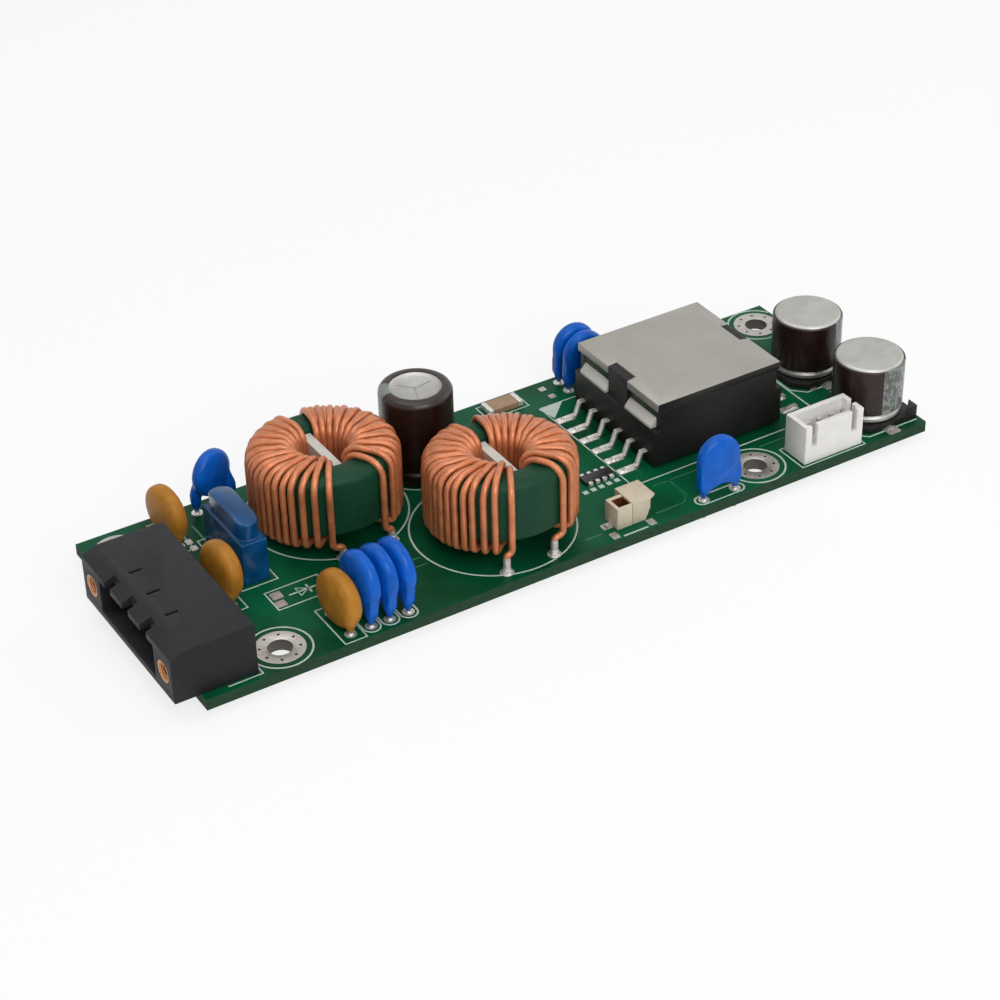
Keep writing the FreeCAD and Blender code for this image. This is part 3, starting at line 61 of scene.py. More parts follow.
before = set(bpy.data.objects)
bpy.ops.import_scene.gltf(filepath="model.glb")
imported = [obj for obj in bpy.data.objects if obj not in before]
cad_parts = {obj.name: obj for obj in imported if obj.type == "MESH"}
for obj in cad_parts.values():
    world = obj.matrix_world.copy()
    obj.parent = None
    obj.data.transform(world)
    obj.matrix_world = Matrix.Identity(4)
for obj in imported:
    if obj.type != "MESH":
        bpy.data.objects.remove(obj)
cad_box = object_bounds()
board_low, board_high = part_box("circuit_board")

MM = 0.001
# Height of the board's underside
UNDER = -1.6
# An outline's corner that opens wider than this, in radians, isn't rounded
STRAIGHT = 3.1


def paint(code):
    """Linear red, green and blue from a six-digit screen colour."""
    parts = [int(code[i : i + 2], 16) / 255 for i in (0, 2, 4)]
    return tuple(c / 12.92 if c <= 0.04045 else ((c + 0.055) / 1.055) ** 2.4 for c in parts)


def at(x, y, z=0.0):
    """A point in metres, from millimetres along, across and above the board."""
    return Vector((board_low.x + x * MM, board_low.y + y * MM, board_high.z + z * MM))


def middle(node):
    """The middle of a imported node, in millimetres on the board."""
    low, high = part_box(node)
    centre = ((low + high) / 2 - at(0, 0)) / MM
    return centre.x, centre.y


def span(node):
    """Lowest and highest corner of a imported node, in millimetres on the board."""
    low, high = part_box(node)
    return (low - at(0, 0)) / MM, (high - at(0, 0)) / MM


# Node trees


def joined(operation):
    """A method that joins a socket and a second value in a maths node."""
    return lambda socket, other: socket.math(operation, other)


class Socket:
    """One output of a node, which takes part in sums."""

    def __init__(self, graph, output):
        self.graph = graph
        self.output = output

    def math(self, operation, *others):
        return self.graph.math(operation, self, *others)

    def __rsub__(self, other):
        return self.graph.math("SUBTRACT", other, self)

    __add__ = __radd__ = joined("ADD")
    __sub__ = joined("SUBTRACT")
    __mul__ = __rmul__ = joined("MULTIPLY")
    __truediv__ = joined("DIVIDE")
    __lt__ = joined("LESS_THAN")
    __gt__ = joined("GREATER_THAN")


class Graph:
    """Adds nodes to a shader tree or a geometry tree."""

    def __init__(self, tree):
        self.tree = tree

    def add(self, kind, settings, *values, output=0, **named):
        """A node with its settings, then its open sockets by order and by name."""
        node = self.tree.nodes.new(kind)
        for key, setting in settings.items():
            setattr(node, key, setting)
        sockets = [socket for socket in node.inputs if socket.enabled]
        for socket, given in zip(sockets, values):
            self.feed(socket, given)
        for name, given in named.items():
            match = [s for s in sockets if s.name.lower().replace(" ", "_") == name]
            self.feed(match[0], given)
        results = [socket for socket in node.outputs if socket.enabled]
        if isinstance(output, str):
            results = [socket for socket in results if socket.name == output]
            output = 0
        return Socket(self, results[output]) if results else None

    def feed(self, socket, given):
        if isinstance(given, Socket):
            self.tree.links.new(given.output, socket)
        elif given is not None:
            if socket.type == "RGBA" and len(given) == 3:
                given = (*given, 1.0)
            socket.default_value = given

    def math(self, operation, *values):
        return self.add("ShaderNodeMath", {"operation": operation}, *values)

    def pick(self, step, choices):
        """The choice whose number is step."""
        total = 0.0
        for number, choice in enumerate(choices):
            here = self.math("COMPARE", step, float(number), 0.5)
            total = here * choice + total
        return total

    def place(self):
        return self.add("ShaderNodeTexCoord", {}, output="Object")

    def parts_of(self, vector):
        node = self.tree.nodes.new("ShaderNodeSeparateXYZ")
        self.feed(node.inputs[0], vector)
        return [Socket(self, socket) for socket in node.outputs]

    def grain(self, size, low=0.3, high=0.7, detail=3.0, stretch=None):
        """Noise with features of that size in millimetres, from 0 below low to 1 above high."""
        vector = self.place()
        if stretch:
            vector = self.add("ShaderNodeMapping", {}, vector, scale=stretch)
        noise = self.add(
            "ShaderNodeTexNoise", {}, vector, scale=1 / (size * MM), detail=detail, roughness=0.6
        )
        return self.add("ShaderNodeMapRange", {}, noise, low, high, 0.0, 1.0)

    def mix(self, mask, first, second):
        """The first colour where mask is 0, the second where it is 1."""
        return self.add("ShaderNodeMix", {"data_type": "RGBA"}, mask, first, second)


def cleared(thing):
    """The emptied node tree of a material or a world."""
    thing.use_nodes = True
    thing.node_tree.nodes.clear()
    return Graph(thing.node_tree)


def shade(tone, share):
    """A colour times a share, up to full."""
    return tuple(min(1.0, c * share) for c in tone)


def finish(name, recipe):
    """The material of that name, made once; its recipe gives sockets, with relief in millimetres."""
    if name in bpy.data.materials:
        return bpy.data.materials[name]
    material = bpy.data.materials.new(name)
    graph = cleared(material)
    sockets = recipe(graph)
    relief = sockets.pop("relief", None)
    depth = sockets.pop("depth", 0.05)
    if relief is not None:
        sockets["normal"] = graph.add(
            "ShaderNodeBump", {}, strength=1.0, distance=depth * MM, height=relief
        )
    shader = graph.add("ShaderNodeBsdfPrincipled", {}, **sockets)
    graph.add("ShaderNodeOutputMaterial", {}, surface=shader)
    return material


def mottled(name, dark, light, size, **rest):
    """A coloured surface that varies softly, with a fine relief."""

    def recipe(graph):
        broad = graph.grain(size * 6)
        fine = graph.grain(size)
        sockets = dict(rest)
        sockets["base_color"] = graph.mix(broad * 0.6 + fine * 0.4, dark, light)
        sockets["roughness"] = rest.get("roughness", 0.5) + fine * 0.08
        sockets["relief"] = fine
        return sockets

    return finish(name, recipe)


# Meshes


def turned(shape, profile, segments, closed=False, spot=(0, 0, 0), turn=None):
    """Turns an outline of (radius, height) about Z and adds it to the shape, in millimetres."""
    matrix = Matrix.Translation(Vector(spot)) @ (turn or Matrix.Identity(4))
    rings = []
    for radius, height in profile:
        count = segments if radius > 1e-6 else 1
        ring = []
        for number in range(count):
            angle = 2 * math.pi * number / segments
            point = Vector((radius * math.cos(angle), radius * math.sin(angle), height))
            ring.append(shape.verts.new(matrix @ point))
        rings.append(ring)
    pairs = list(zip(rings, rings[1:]))
    if closed:
        pairs.append((rings[-1], rings[0]))
    for lower, upper in pairs:
        for number in range(segments):
            after = (number + 1) % segments
            corners = [
                lower[number % len(lower)], lower[after % len(lower)], upper[after % len(upper)],
                upper[number % len(upper)],
            ]
            face = list(dict.fromkeys(corners))
            if len(face) > 2:
                shape.faces.new(face)


def rounded(corners, radius, steps=5):
    """An outline whose sharp corners are replaced by short arcs; each corner may set its own."""
    outline = []
    count = len(corners)
    for number, corner in enumerate(corners):
        here = Vector(corner[:2])
        before = Vector(corners[number - 1][:2])
        after = Vector(corners[(number + 1) % count][:2])
        size = corner[2] if len(corner) > 2 else radius
        one = (before - here).normalized()
        two = (after - here).normalized()
        angle = one.angle(two) if one.length and two.length else math.pi
        if size < 1e-6 or angle > STRAIGHT:
            outline.append(tuple(here))
            continue
        reach = size / math.tan(angle / 2)
        heart = here + (one + two).normalized() * (size / math.sin(angle / 2))
        start = here + one * reach - heart
        end = here + two * reach - heart
        for step in range(steps + 1):
            share = step / steps
            outline.append(tuple(heart + start.lerp(end, share).normalized() * size))
    return outline


def slab(shape, outline, low, high):
    """Adds a flat plate between two heights, in millimetres."""
    floor = [shape.verts.new((x, y, low)) for x, y in outline]
    roof = [shape.verts.new((x, y, high)) for x, y in outline]
    shape.faces.new(list(reversed(floor)))
    shape.faces.new(roof)
    count = len(outline)
    for number in range(count):
        after = (number + 1) % count
        shape.faces.new([floor[number], floor[after], roof[after], roof[number]])


def oblong(x, y, length, width, radius=0.0):
    """The outline of a rectangle round x, y."""
    half = length / 2
    side = width / 2
    corners = [(x - half, y - side), (x + half, y - side), (x + half, y + side), (x - half, y + side)]
    return rounded(corners, radius) if radius else corners


def mesh_of(name, shape, spot=None, smooth=35.0):
    """Makes a mesh in metres from a shape in millimetres that starts at spot on the board."""
    bmesh.ops.recalc_face_normals(shape, faces=shape.faces)
    shape.transform(Matrix.Scale(MM, 4))
    if spot is not None:
        shape.transform(Matrix.Translation(at(*spot)))
    mesh = bpy.data.meshes.new(name)
    shape.to_mesh(mesh)
    shape.free()
    soften(mesh, smooth)
    return mesh


def soften(mesh, degrees):
    """Shades a mesh smooth but for edges sharper than that angle."""
    mesh.polygons.foreach_set("use_smooth", [True] * len(mesh.polygons))
    mesh.set_sharp_from_angle(angle=math.radians(degrees))


def linked(name, data):
    """A new object in the scene with that mesh, lamp or camera."""
    thing = bpy.data.objects.new(name, data)
    bpy.context.scene.collection.objects.link(thing)
    return thing


def settle(thing):
    """Applies an object's modifiers to its mesh."""
    ready = thing.evaluated_get(bpy.context.evaluated_depsgraph_get())
    mesh = bpy.data.meshes.new_from_object(ready)
    thing.modifiers.clear()
    thing.data = mesh
    return thing


def seat(thing, material, slot, *replaced):
    """Gives a finished piece its material and its body, and hides the nodes that it stands for."""
    thing.data.materials.clear()
    thing.data.materials.append(material)
    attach(thing, "root")
    if replaced:
        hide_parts(*replaced)
    return thing


def piece(name, shape, material, slot, *replaced, spot=(0, 0, 0), smooth=35.0):
    """Makes a finished piece of a shape in millimetres that starts at spot."""
    return seat(linked(name, mesh_of(name, shape, spot, smooth)), material, slot, *replaced)


def lathe(name, profile, spot, material, slot, *replaced, closed=False):
    """Makes a finished round piece of an outline that is turned about spot."""
    shape = bmesh.new()
    turned(shape, profile, 64, closed, (*spot, 0))
    return piece(name, shape, material, slot, *replaced)


def coat(node, material):
    """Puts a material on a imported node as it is."""
    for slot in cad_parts[node].material_slots:
        slot.material = material


def copied(name, node):
    """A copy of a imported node, with its triangles joined into flat faces."""
    shape = bmesh.new()
    shape.from_mesh(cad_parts[node].data)
    bmesh.ops.remove_doubles(shape, verts=shape.verts, dist=1e-7)
    bmesh.ops.dissolve_limit(shape, angle_limit=math.radians(1.0), verts=shape.verts, edges=shape.edges)
    mesh = bpy.data.meshes.new(name)
    shape.to_mesh(mesh)
    shape.free()
    mesh.polygons.foreach_set("use_smooth", [True] * len(mesh.polygons))
    return linked(name, mesh)


def round_edges(thing, width, segments=2):
    """Rounds a piece's sharp edges by a width in metres."""
    bevel = thing.modifiers.new("Rounded edges", "BEVEL")
    bevel.width = width
    bevel.segments = segments
    bevel.limit_method = "ANGLE"
    bevel.angle_limit = math.radians(28)
    bevel.harden_normals = True
    settle(thing)


def eased(name, node, width, material, slot, segments=2):
    """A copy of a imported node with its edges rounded, which stands for it."""
    thing = copied(name, node)
    round_edges(thing, width * MM, segments)
    return seat(thing, material, slot, node)


# Geometry trees


def geometry_tree(name, inputs):
    """A tree with a Geometry input and output, its named inputs, and their sockets."""
    tree = bpy.data.node_groups.new(name, "GeometryNodeTree")
    tree.is_modifier = True
    tree.interface.new_socket("Geometry", in_out="INPUT", socket_type="NodeSocketGeometry")
    tree.interface.new_socket("Geometry", in_out="OUTPUT", socket_type="NodeSocketGeometry")
    kinds = {int: "Int", float: "Float", tuple: "Vector", type(None): "Material"}
    for title, default in inputs.items():
        kind = "NodeSocket" + kinds[type(default)]
        socket = tree.interface.new_socket(title, in_out="INPUT", socket_type=kind)
        if default is not None:
            socket.default_value = default
    graph = Graph(tree)
    entry = tree.nodes.new("NodeGroupInput")
    given = {s.name: Socket(graph, s) for s in entry.outputs if s.name}
    return graph, given


def close_tree(graph, geometry, material):
    """Ends a tree in Realize Instances and Set Material."""
    real = graph.add("GeometryNodeRealizeInstances", {}, geometry)
    painted = graph.add("GeometryNodeSetMaterial", {}, real, material=material)
    graph.add("NodeGroupOutput", {}, painted)
    return graph.tree


def grow(name, tree, values, points=(), edges=()):
    """Runs a geometry tree on points in metres and leaves a plain mesh."""
    base = bpy.data.meshes.new(name)
    base.from_pydata([tuple(p) for p in points], list(edges), [])
    thing = linked(name, base)
    modifier = thing.modifiers.new("Shape", "NODES")
    modifier.node_group = tree
    for item in tree.interface.items_tree:
        if item.item_type == "SOCKET" and item.in_out == "INPUT" and item.name in values:
            modifier[item.identifier] = values[item.name]
    return settle(thing)


def winding_tree():
    """One wire wound round half a ring core, from its near lead to its far lead."""
    graph, given = geometry_tree(
        "Winding",
        {
            "Turns": 22, "Wire radius": 0.45, "Near angle": -66.5, "Far angle": 78.0,
            "Bore angle": 74.0, "Spread": 0.82, "Outer radius": 9.65, "Bore radius": 4.25,
            "Bottom": 1.8, "Top": 12.0, "Lead": (3.6, 8.9, 2.4), "Far bend": 0.9, "Tip": -2.8,
            "Side": 1.0, "Looseness": 1.0, "Seed": 1, "Corner": 2.3, "Tilt": 0.0, "Lift": 0.0,
            "Sides": 10, "Middle": (0.0, 0.0, 0.0), "Enamel": None,
        },
    )
    turns = given["Turns"]
    # Each turn has four corners: outside below and above, then in the bore above and below
    count = turns * 4.0 + 4.0
    line = graph.add("GeometryNodeMeshLine", {}, count)
    index = graph.add("GeometryNodeInputIndex", {})
    after = index - 2.0
    turn = (after / 4.0).math("FLOOR")
    step = after - turn * 4.0
    share = turn / (turns - 1.0)
    layer = turn.math("FLOORED_MODULO", 2.0)

    def stray(low, high, salt):
        node = graph.add(
            "FunctionNodeRandomValue",
            {"data_type": "FLOAT"},
            min=low,
            max=high,
            id=turn,
            seed=given["Seed"] + float(salt),
        )
        return node * given["Looseness"]

    spread = share.math("POWER", given["Spread"])
    around = given["Near angle"] + (given["Far angle"] - given["Near angle"]) * spread
    around = around + stray(-0.5, 0.5, 0)
    within = given["Bore angle"] * (share * 2.0 - 1.0) + stray(-1.2, 1.2, 7)
    wire = given["Wire radius"] * 2.0
    bore = given["Bore radius"] - layer * wire * 0.85
    top = given["Top"] + stray(-0.04, 0.1, 13)
    over = top + layer * wire * 0.55
    bottom = given["Bottom"] + stray(-0.1, 0.1, 17)
    outer = given["Outer radius"] + stray(-0.02, 0.08, 21)
    radius = graph.pick(step, (outer, outer, bore, bore))
    height = graph.pick(step, (bottom, top - 0.1, over, bottom))
    angle = graph.pick(step, (around, around, within, within)) * (math.pi / 180)
    lead_x, lead_y, bend = graph.parts_of(given["Lead"])
    starts = index < 1.5
    ends = index > turns * 4.0 + 1.5
    coil = 1.0 - starts - ends
    tail = (index < 0.5) + (index > turns * 4.0 + 2.5)
    bend = bend * starts + given["Far bend"] * ends
    lead_z = bend + (given["Tip"] - bend) * tail
    x = (radius * angle.math("COSINE")) * coil + lead_x * (1.0 - coil)
    y = (radius * angle.math("SINE")) * coil + lead_y * (ends - starts)
    leaning = given["Lift"] - y * given["Tilt"]
    z = (height + leaning) * coil + lead_z * (1.0 - coil)
    point = graph.add("ShaderNodeCombineXYZ", {}, x * given["Side"], y, z)
    scaled = graph.add("ShaderNodeVectorMath", {"operation": "SCALE"}, point, scale=MM)
    moved = graph.add("ShaderNodeVectorMath", {"operation": "ADD"}, scaled, given["Middle"])
    shaped = graph.add("GeometryNodeSetPosition", {}, line, position=moved)
    curve = graph.add("GeometryNodeMeshToCurve", {}, shaped)
    size = graph.pick(step, (0.7, given["Corner"], 2.0, 0.7)) * coil + 0.5 * (1.0 - coil)
    bent = graph.add(
        "GeometryNodeFilletCurve", {"mode": "POLY"}, curve, radius=size * MM, limit_radius=True, count=5
    )
    ring = graph.add(
        "GeometryNodeCurvePrimitiveCircle",
        {"mode": "RADIUS"},
        resolution=given["Sides"],
        radius=given["Wire radius"] * MM,
    )
    tube = graph.add("GeometryNodeCurveToMesh", {}, bent, profile_curve=ring, fill_caps=True)
    smooth = graph.add("GeometryNodeSetShadeSmooth", {}, tube)
    return close_tree(graph, smooth, given["Enamel"])


def ribbon_tree():
    """A flat line of print or copper along the edges of a mesh."""
    graph, given = geometry_tree("Flat line", {"Width": 0.0002, "Thickness": 0.00003, "Ink": None})
    curve = graph.add("GeometryNodeMeshToCurve", {}, given["Geometry"])
    level = graph.add("GeometryNodeSetCurveNormal", {"mode": "Z_UP"}, curve)
    band = graph.add(
        "GeometryNodeCurvePrimitiveQuadrilateral",
        {"mode": "RECTANGLE"},
        width=given["Width"],
        height=given["Thickness"],
    )
    strip = graph.add("GeometryNodeCurveToMesh", {}, level, profile_curve=band, fill_caps=True)
    return close_tree(graph, strip, given["Ink"])


def stud_tree():
    """A turned stud at each point, such as a solder cone on its land or a plated via."""
    graph, given = geometry_tree(
        "Studs",
        {
            "Land radius": 0.0011,
            "Land thickness": 0.00004,
            "Foot radius": 0.0009,
            "Top radius": 0.0004,
            "Height": 0.0007,
            "Turn": 0.0,
            "Sides": 16,
            "Metal": None,
        },
    )
    land = graph.add(
        "GeometryNodeMeshCylinder",
        {"fill_type": "NGON"},
        vertices=given["Sides"],
        radius=given["Land radius"],
        depth=given["Land thickness"],
    )
    cone = graph.add(
        "GeometryNodeMeshCone",
        {"fill_type": "NGON"},
        vertices=given["Sides"],
        radius_top=given["Top radius"],
        radius_bottom=given["Foot radius"],
        depth=given["Height"],
    )
    join = graph.tree.nodes.new("GeometryNodeJoinGeometry")
    graph.feed(join.inputs[0], land)
    graph.feed(join.inputs[0], cone)
    stud = Socket(graph, join.outputs[0])
    turn = graph.add("ShaderNodeCombineXYZ", {}, given["Turn"], 0.0, 0.0)
    rows = graph.add(
        "GeometryNodeInstanceOnPoints", {}, given["Geometry"], instance=stud, rotation=turn
    )
    return close_tree(graph, rows, given["Metal"])


def print_lines(name, lines, width, material, slot, thickness=0.03):
    """Lays flat lines, each a list of (x, y) in millimetres, on the board's top face."""
    points = []
    edges = []
    for line in lines:
        first = len(points)
        closed = line[0] == line[-1]
        corners = line[:-1] if closed else line
        points.extend(at(x, y) for x, y in corners)
        count = len(corners)
        edges.extend((first + n, first + n + 1) for n in range(count - 1))
        if closed:
            edges.append((first + count - 1, first))
    tree = bpy.data.node_groups.get("Flat line") or ribbon_tree()
    values = {"Width": width * MM, "Thickness": thickness * MM, "Ink": material}
    return seat(grow(name, tree, values, points, edges), material, slot)


def studs(name, spots, height, material, sizes, slot="tinned_metal", turn=0.0, sides=16):
    """Sets a stud at each (x, y), with its five sizes in millimetres in the order named here."""
    tree = bpy.data.node_groups.get("Studs") or stud_tree()
    titles = ("Land radius", "Land thickness", "Foot radius", "Top radius", "Height")
    values = {title: size * MM for title, size in zip(titles, sizes)}
    values.update({"Turn": turn, "Sides": sides, "Metal": material})
    thing = grow(name, tree, values, [at(x, y, height) for x, y in spots])
    soften(thing.data, 50)
    return seat(thing, material, slot)


def circle_line(x, y, radius, steps=48, start=0.0, end=360.0):
    """Points round a circle, which close when they go all the way."""
    line = []
    for number in range(steps + 1):
        angle = math.radians(start + (end - start) * number / steps)
        line.append((x + radius * math.cos(angle), y + radius * math.sin(angle)))
    if end - start >= 360:
        line[-1] = line[0]
    return line


def frame_line(x0, y0, x1, y1, radius=0.0):
    """A closed line round a rectangle, from corner to corner."""
    outline = oblong((x0 + x1) / 2, (y0 + y1) / 2, x1 - x0, y1 - y0, radius)
    return [tuple(p) for p in outline] + [tuple(outline[0])]


# Sizes and colours that a user would change


def colour(name, code):
    """A colour that a user can set, from a six-digit screen colour."""
    return FloatVectorProperty(
        name=name,
        description=f"Colour: {name.lower()}",
        default=paint(code),
        subtype="COLOR",
        size=3,
        min=0.0,
        max=1.0,
    )


def length(name, description, millimetres):
    """A length that a user can set."""
    return FloatProperty(
        name=name, description=description, default=millimetres * MM, unit="LENGTH", precision=5
    )


def power(name, watts):
    """A lamp's power that a user can set."""
    return FloatProperty(name=name, description="Power", default=watts, unit="POWER")


class BoardLooks(bpy.types.PropertyGroup):
    mask: colour("Solder mask", "003A20")
    mask_over_copper: colour("Mask over copper", "055E3B")
    edge: colour("Laminate edge", "2A4733")
    ink: colour("Print", "BFCDC3")
    ink_width: length("Print width", "Width of a printed line", 0.27)
    ring_radius: length("Ring radius", "Radius of the printed ring round a screw", 4.06)
    land_radius: length("Land radius", "Radius of the land round a screw", 3.24)
    vias: IntProperty(name="Vias", description="Vias in each screw land", default=8, min=0, max=24)


class HeaderLooks(bpy.types.PropertyGroup):
    shroud: colour("Shroud", "1C1C1F")
    insert: colour("Inserts", "C98F62")
    edge: length("Edge", "Rounding of the moulding's edges", 0.14)


class DiscLooks(bpy.types.PropertyGroup):
    ochre: colour("Ochre coating", "B67B2A")
    blue: colour("Blue coating", "0860C8")
    voxel: length("Fineness", "Grid that joins a disc to its legs", 0.17)


class FuseLooks(bpy.types.PropertyGroup):
    shell: colour("Shell", "054F85")
    edge: length("Edge", "Rounding of the shell's edges", 0.3)


class ChokeLooks(bpy.types.PropertyGroup):
    enamel: colour("Enamel", "CD7C50")
    core: colour("Core coating", "123F2A")
    divider: colour("Divider", "C8C8C0")
    wire: length("Wire", "Diameter of the wire", 0.9)
    looseness: FloatProperty(
        name="Looseness", description="How far turns stray", default=1.0, min=0.0, max=2.0
    )
    seed: IntProperty(name="Seed", description="Seed of the turns' strays", default=4)


class CapacitorLooks(bpy.types.PropertyGroup):
    sleeve: colour("Sleeve", "22120E")
    stripe: colour("Stripe", "7C8580")
    can: colour("Can", "B4B3AE")


class TransformerLooks(bpy.types.PropertyGroup):
    plate: colour("Core", "A6A39B")
    former: colour("Coil former", "191817")
    edge: length("Edge", "Rounding of the core's edges", 0.12)


class ConnectorLooks(bpy.types.PropertyGroup):
    white: colour("Output header", "E2E0DC")
    beige: colour("Socket", "CDC1AA")


class StageLooks(bpy.types.PropertyGroup):
    floor: colour("Floor", "FAFAFA")
    key: power("Key lamp", 2.3)
    top: power("Top lamp", 1.4)
    rim: power("Side lamp", 0.5)
    sky: FloatProperty(name="Sky", description="Strength of the even light", default=0.28)
    lens: FloatProperty(name="Focal length", description="In millimetres", default=89.72)
    place: FloatVectorProperty(
        name="Camera place", description="Where the camera stands",
        default=(-0.14369, -0.23433, 0.18855), subtype="TRANSLATION", unit="LENGTH",
    )
    aim: FloatVectorProperty(
        name="Camera aim",
        description="Turn about the vertical, tilt down and roll",
        default=tuple(math.radians(v) for v in (-31.13, 34.65, -1.36)),
        subtype="EULER",
        unit="ROTATION",
    )


# Finishes that several pieces share


def metal(name, dark, light, grain, metallic, rough, vary, depth):
    """A metal whose tone and gloss vary with one grain; it is made once."""

    def recipe(graph):
        smear = graph.grain(*grain)
        return dict(
            base_color=graph.mix(smear, dark, light), metallic=metallic, roughness=rough + smear * vary,
            relief=smear, depth=depth,
        )

    return finish(name, recipe)


def tinned(name="Tinned metal", tint="CFCBC6"):
    """Tin over copper or steel, a little smeared."""
    return metal(name, paint("A9A59F"), paint(tint), (0.5,), 0.65, 0.28, 0.2, 0.02)


def solder():
    """Bright, slightly rippled solder."""
    dark = paint("C4C1BC")
    return metal("Solder", dark, paint("E4E2DD"), (0.35, 0.3, 0.7, 2.0), 0.55, 0.25, 0.16, 0.05)


def moulded(name, tone, roughness, size=0.35, spread=0.25, depth=0.02, shine=0.5):
    """Moulded plastic: a fine texture and a slight change of tone."""
    dark = shade(tone, 1 - spread)
    light = shade(tone, 1 + spread)
    return mottled(name, dark, light, size, roughness=roughness, depth=depth, specular_ior_level=shine)


def header_pins():
    """Places of the input header's three pins, from the box that they fill."""
    low, high = span("header_pins")
    half = 0.5
    reach = high.y - low.y - 2 * half
    return [(high.x - half, low.y + half + reach * number / 2) for number in range(3)]


class ConverterStep:
    """What every step's operator shares."""

    bl_options = {"REGISTER", "UNDO"}


# Along and across the board; the last screw is behind the input header and has no printed ring
SCREWS = ((12.1, 4.2), (84.0, 4.2), (106.2, 33.8), (4.2, 33.8))
# Tracks that show through the mask, as points along and across the board
TRACKS = [
    [(23.6, 12.2), (26.2, 12.2), (29.0, 9.4), (36.0, 9.4)],
    [(23.6, 13.6), (27.0, 13.6), (29.6, 11.0), (35.8, 11.0)],
    [(13.0, 24.0), (13.0, 27.5), (14.5, 29.0), (14.5, 33.5)],
    [(55.5, 2.4), (58.0, 2.4)],
    [(66.5, 2.4), (71.0, 2.4), (72.4, 3.8), (72.4, 7.8)],
    [(60.4, 14.6), (60.4, 20.4), (63.4, 23.4), (66.4, 23.4)],
    [(66.0, 27.9), (61.6, 27.9), (58.0, 31.5), (54.2, 31.5)],
    [(66.0, 24.9), (61.0, 24.9), (56.6, 29.3), (53.0, 29.3)],
    [(69.8, 7.8), (78.4, 7.8)],
    [(87.2, 7.6), (95.0, 7.6), (97.4, 10.0), (97.4, 12.0)],
    [(101.6, 30.0), (101.6, 36.4), (90.0, 36.4)],
    [(24.0, 36.6), (40.0, 36.6), (44.0, 35.0)],
]


def laminate(looks):
    """Green mask over the faces and bare layers on the cut edges."""
    skin = 0.03 * MM

    def recipe(graph):
        z = graph.parts_of(graph.place())[2]
        broad = graph.grain(16.0, 0.42, 0.56, 1.5)
        cloud = graph.grain(3.0)
        weave = graph.grain(0.25, detail=2.0)
        face = graph.mix(broad * 0.55 + cloud * 0.2, tuple(looks.mask), tuple(looks.mask_over_copper))
        inside = (z > board_low.z + skin) * (z < board_high.z - skin)
        layers = graph.grain(1.2, 0.35, 0.65, 2.0, stretch=(1, 1, 9))
        cut = graph.mix(layers, shade(looks.edge, 0.6), tuple(looks.edge))
        return dict(
            base_color=graph.mix(inside, face, cut), roughness=0.34 + weave * 0.08 + inside * 0.3,
            specular_ior_level=0.1, coat_weight=0.02, coat_roughness=0.15,
            relief=weave * 0.4 + broad * 0.6, depth=0.015,
        )

    return finish("Laminate", recipe)


def drawn_lines(looks):
    """Part outlines in print, as closed frames, circles and open brackets."""
    lines = []
    ring = looks.ring_radius / MM
    for x, y in SCREWS[:3]:
        lines.extend(arcs_inside(x, y, ring))
    for number in (1, 2, 3):
        x, y = middle(f"ochre_disc_{number}_body")
        lines.append(frame_line(x - 1.5, y - 4.0, x + 1.5, y + 4.0))
    for number in (1, 2, 3):
        x, y = middle(f"blue_disc_{number}_body")
        lines.append(frame_line(x - 1.15, 0.6, x + 1.15, 8.1, 1.14))
    lines += [
        frame_line(72.3, 0.5, 79.9, 2.4, 0.94),
        frame_line(13.5, 16.95, 18.5, 29.85),
        circle_line(30.77, 26.56, 10.82, 96),
        circle_line(47.28, 11.74, 10.96, 96),
        [(3.4, 0.85), (8.05, 0.85), (8.05, 2.6)],
        [(92.8, 9.2), (67.6, 9.2), (67.6, 32.1), (96.5, 32.1), (99.2, 29.4), (99.2, 9.0)],
        frame_line(15.5, 10.9, 23.0, 15.0),
        [(18.0, 13.0), (21.9, 13.0)],
        [(19.3, 12.1), (19.3, 13.9), (20.7, 13.0), (19.3, 12.1)],
        [(20.8, 12.1), (20.8, 13.9)],
        [(60.2, 0.45), (64.0, 0.45)],
        frame_line(60.2, 33.7, 66.8, 37.1),
        frame_line(89.0, 0.25, 99.6, 5.45),
    ]
    for number in (1, 2):
        x, y = middle(f"output_capacitor_{number}_base")
        lines.append(
            [
                (x + 4.6, y - 5.35), (x - 3.6, y - 5.35), (x - 5.35, y - 3.6), (x - 5.35, y + 3.6),
                (x - 3.6, y + 5.35), (x + 4.6, y + 5.35),
            ]
        )
    x, y = middle("tall_capacitor_can")
    lines.append(circle_line(x, y, 5.35))
    return lines


def arcs_inside(x, y, radius):
    """The parts of a circle that lie on the board."""
    low, high = span("circuit_board")
    edge = 0.13
    arcs = [[]]
    for px, py in circle_line(x, y, radius, 96, 45.0, 405.0):
        if low.x + edge < px < high.x - edge and low.y + edge < py < high.y - edge:
            arcs[-1].append((px, py))
        elif arcs[-1]:
            arcs.append([])
    return [arc for arc in arcs if len(arc) > 2]


def solid_marks(ink):
    """The printed corner mark and a row of five squares."""
    shape = bmesh.new()
    slab(shape, [(67.3, 32.0), (68.0, 28.9), (71.2, 32.0)], -0.01, 0.035)
    for number in range(5):
        x = 61.5 + 5.1 * number / 4
        slab(shape, oblong(x, 11.35 + number * 0.05, 0.75, 0.75), -0.01, 0.03)
    piece("board_marks", shape, ink, "green_laminate")


def tracks(looks):
    """Tracks that show through the mask as slightly lighter, raised lines."""
    over = mottled(
        "Mask over tracks", tuple(looks.mask_over_copper), shade(looks.mask_over_copper, 1.1), 0.8,
        roughness=0.3, depth=0.01,
    )
    print_lines("board_tracks", TRACKS, 0.32, over, "green_laminate", 0.02)


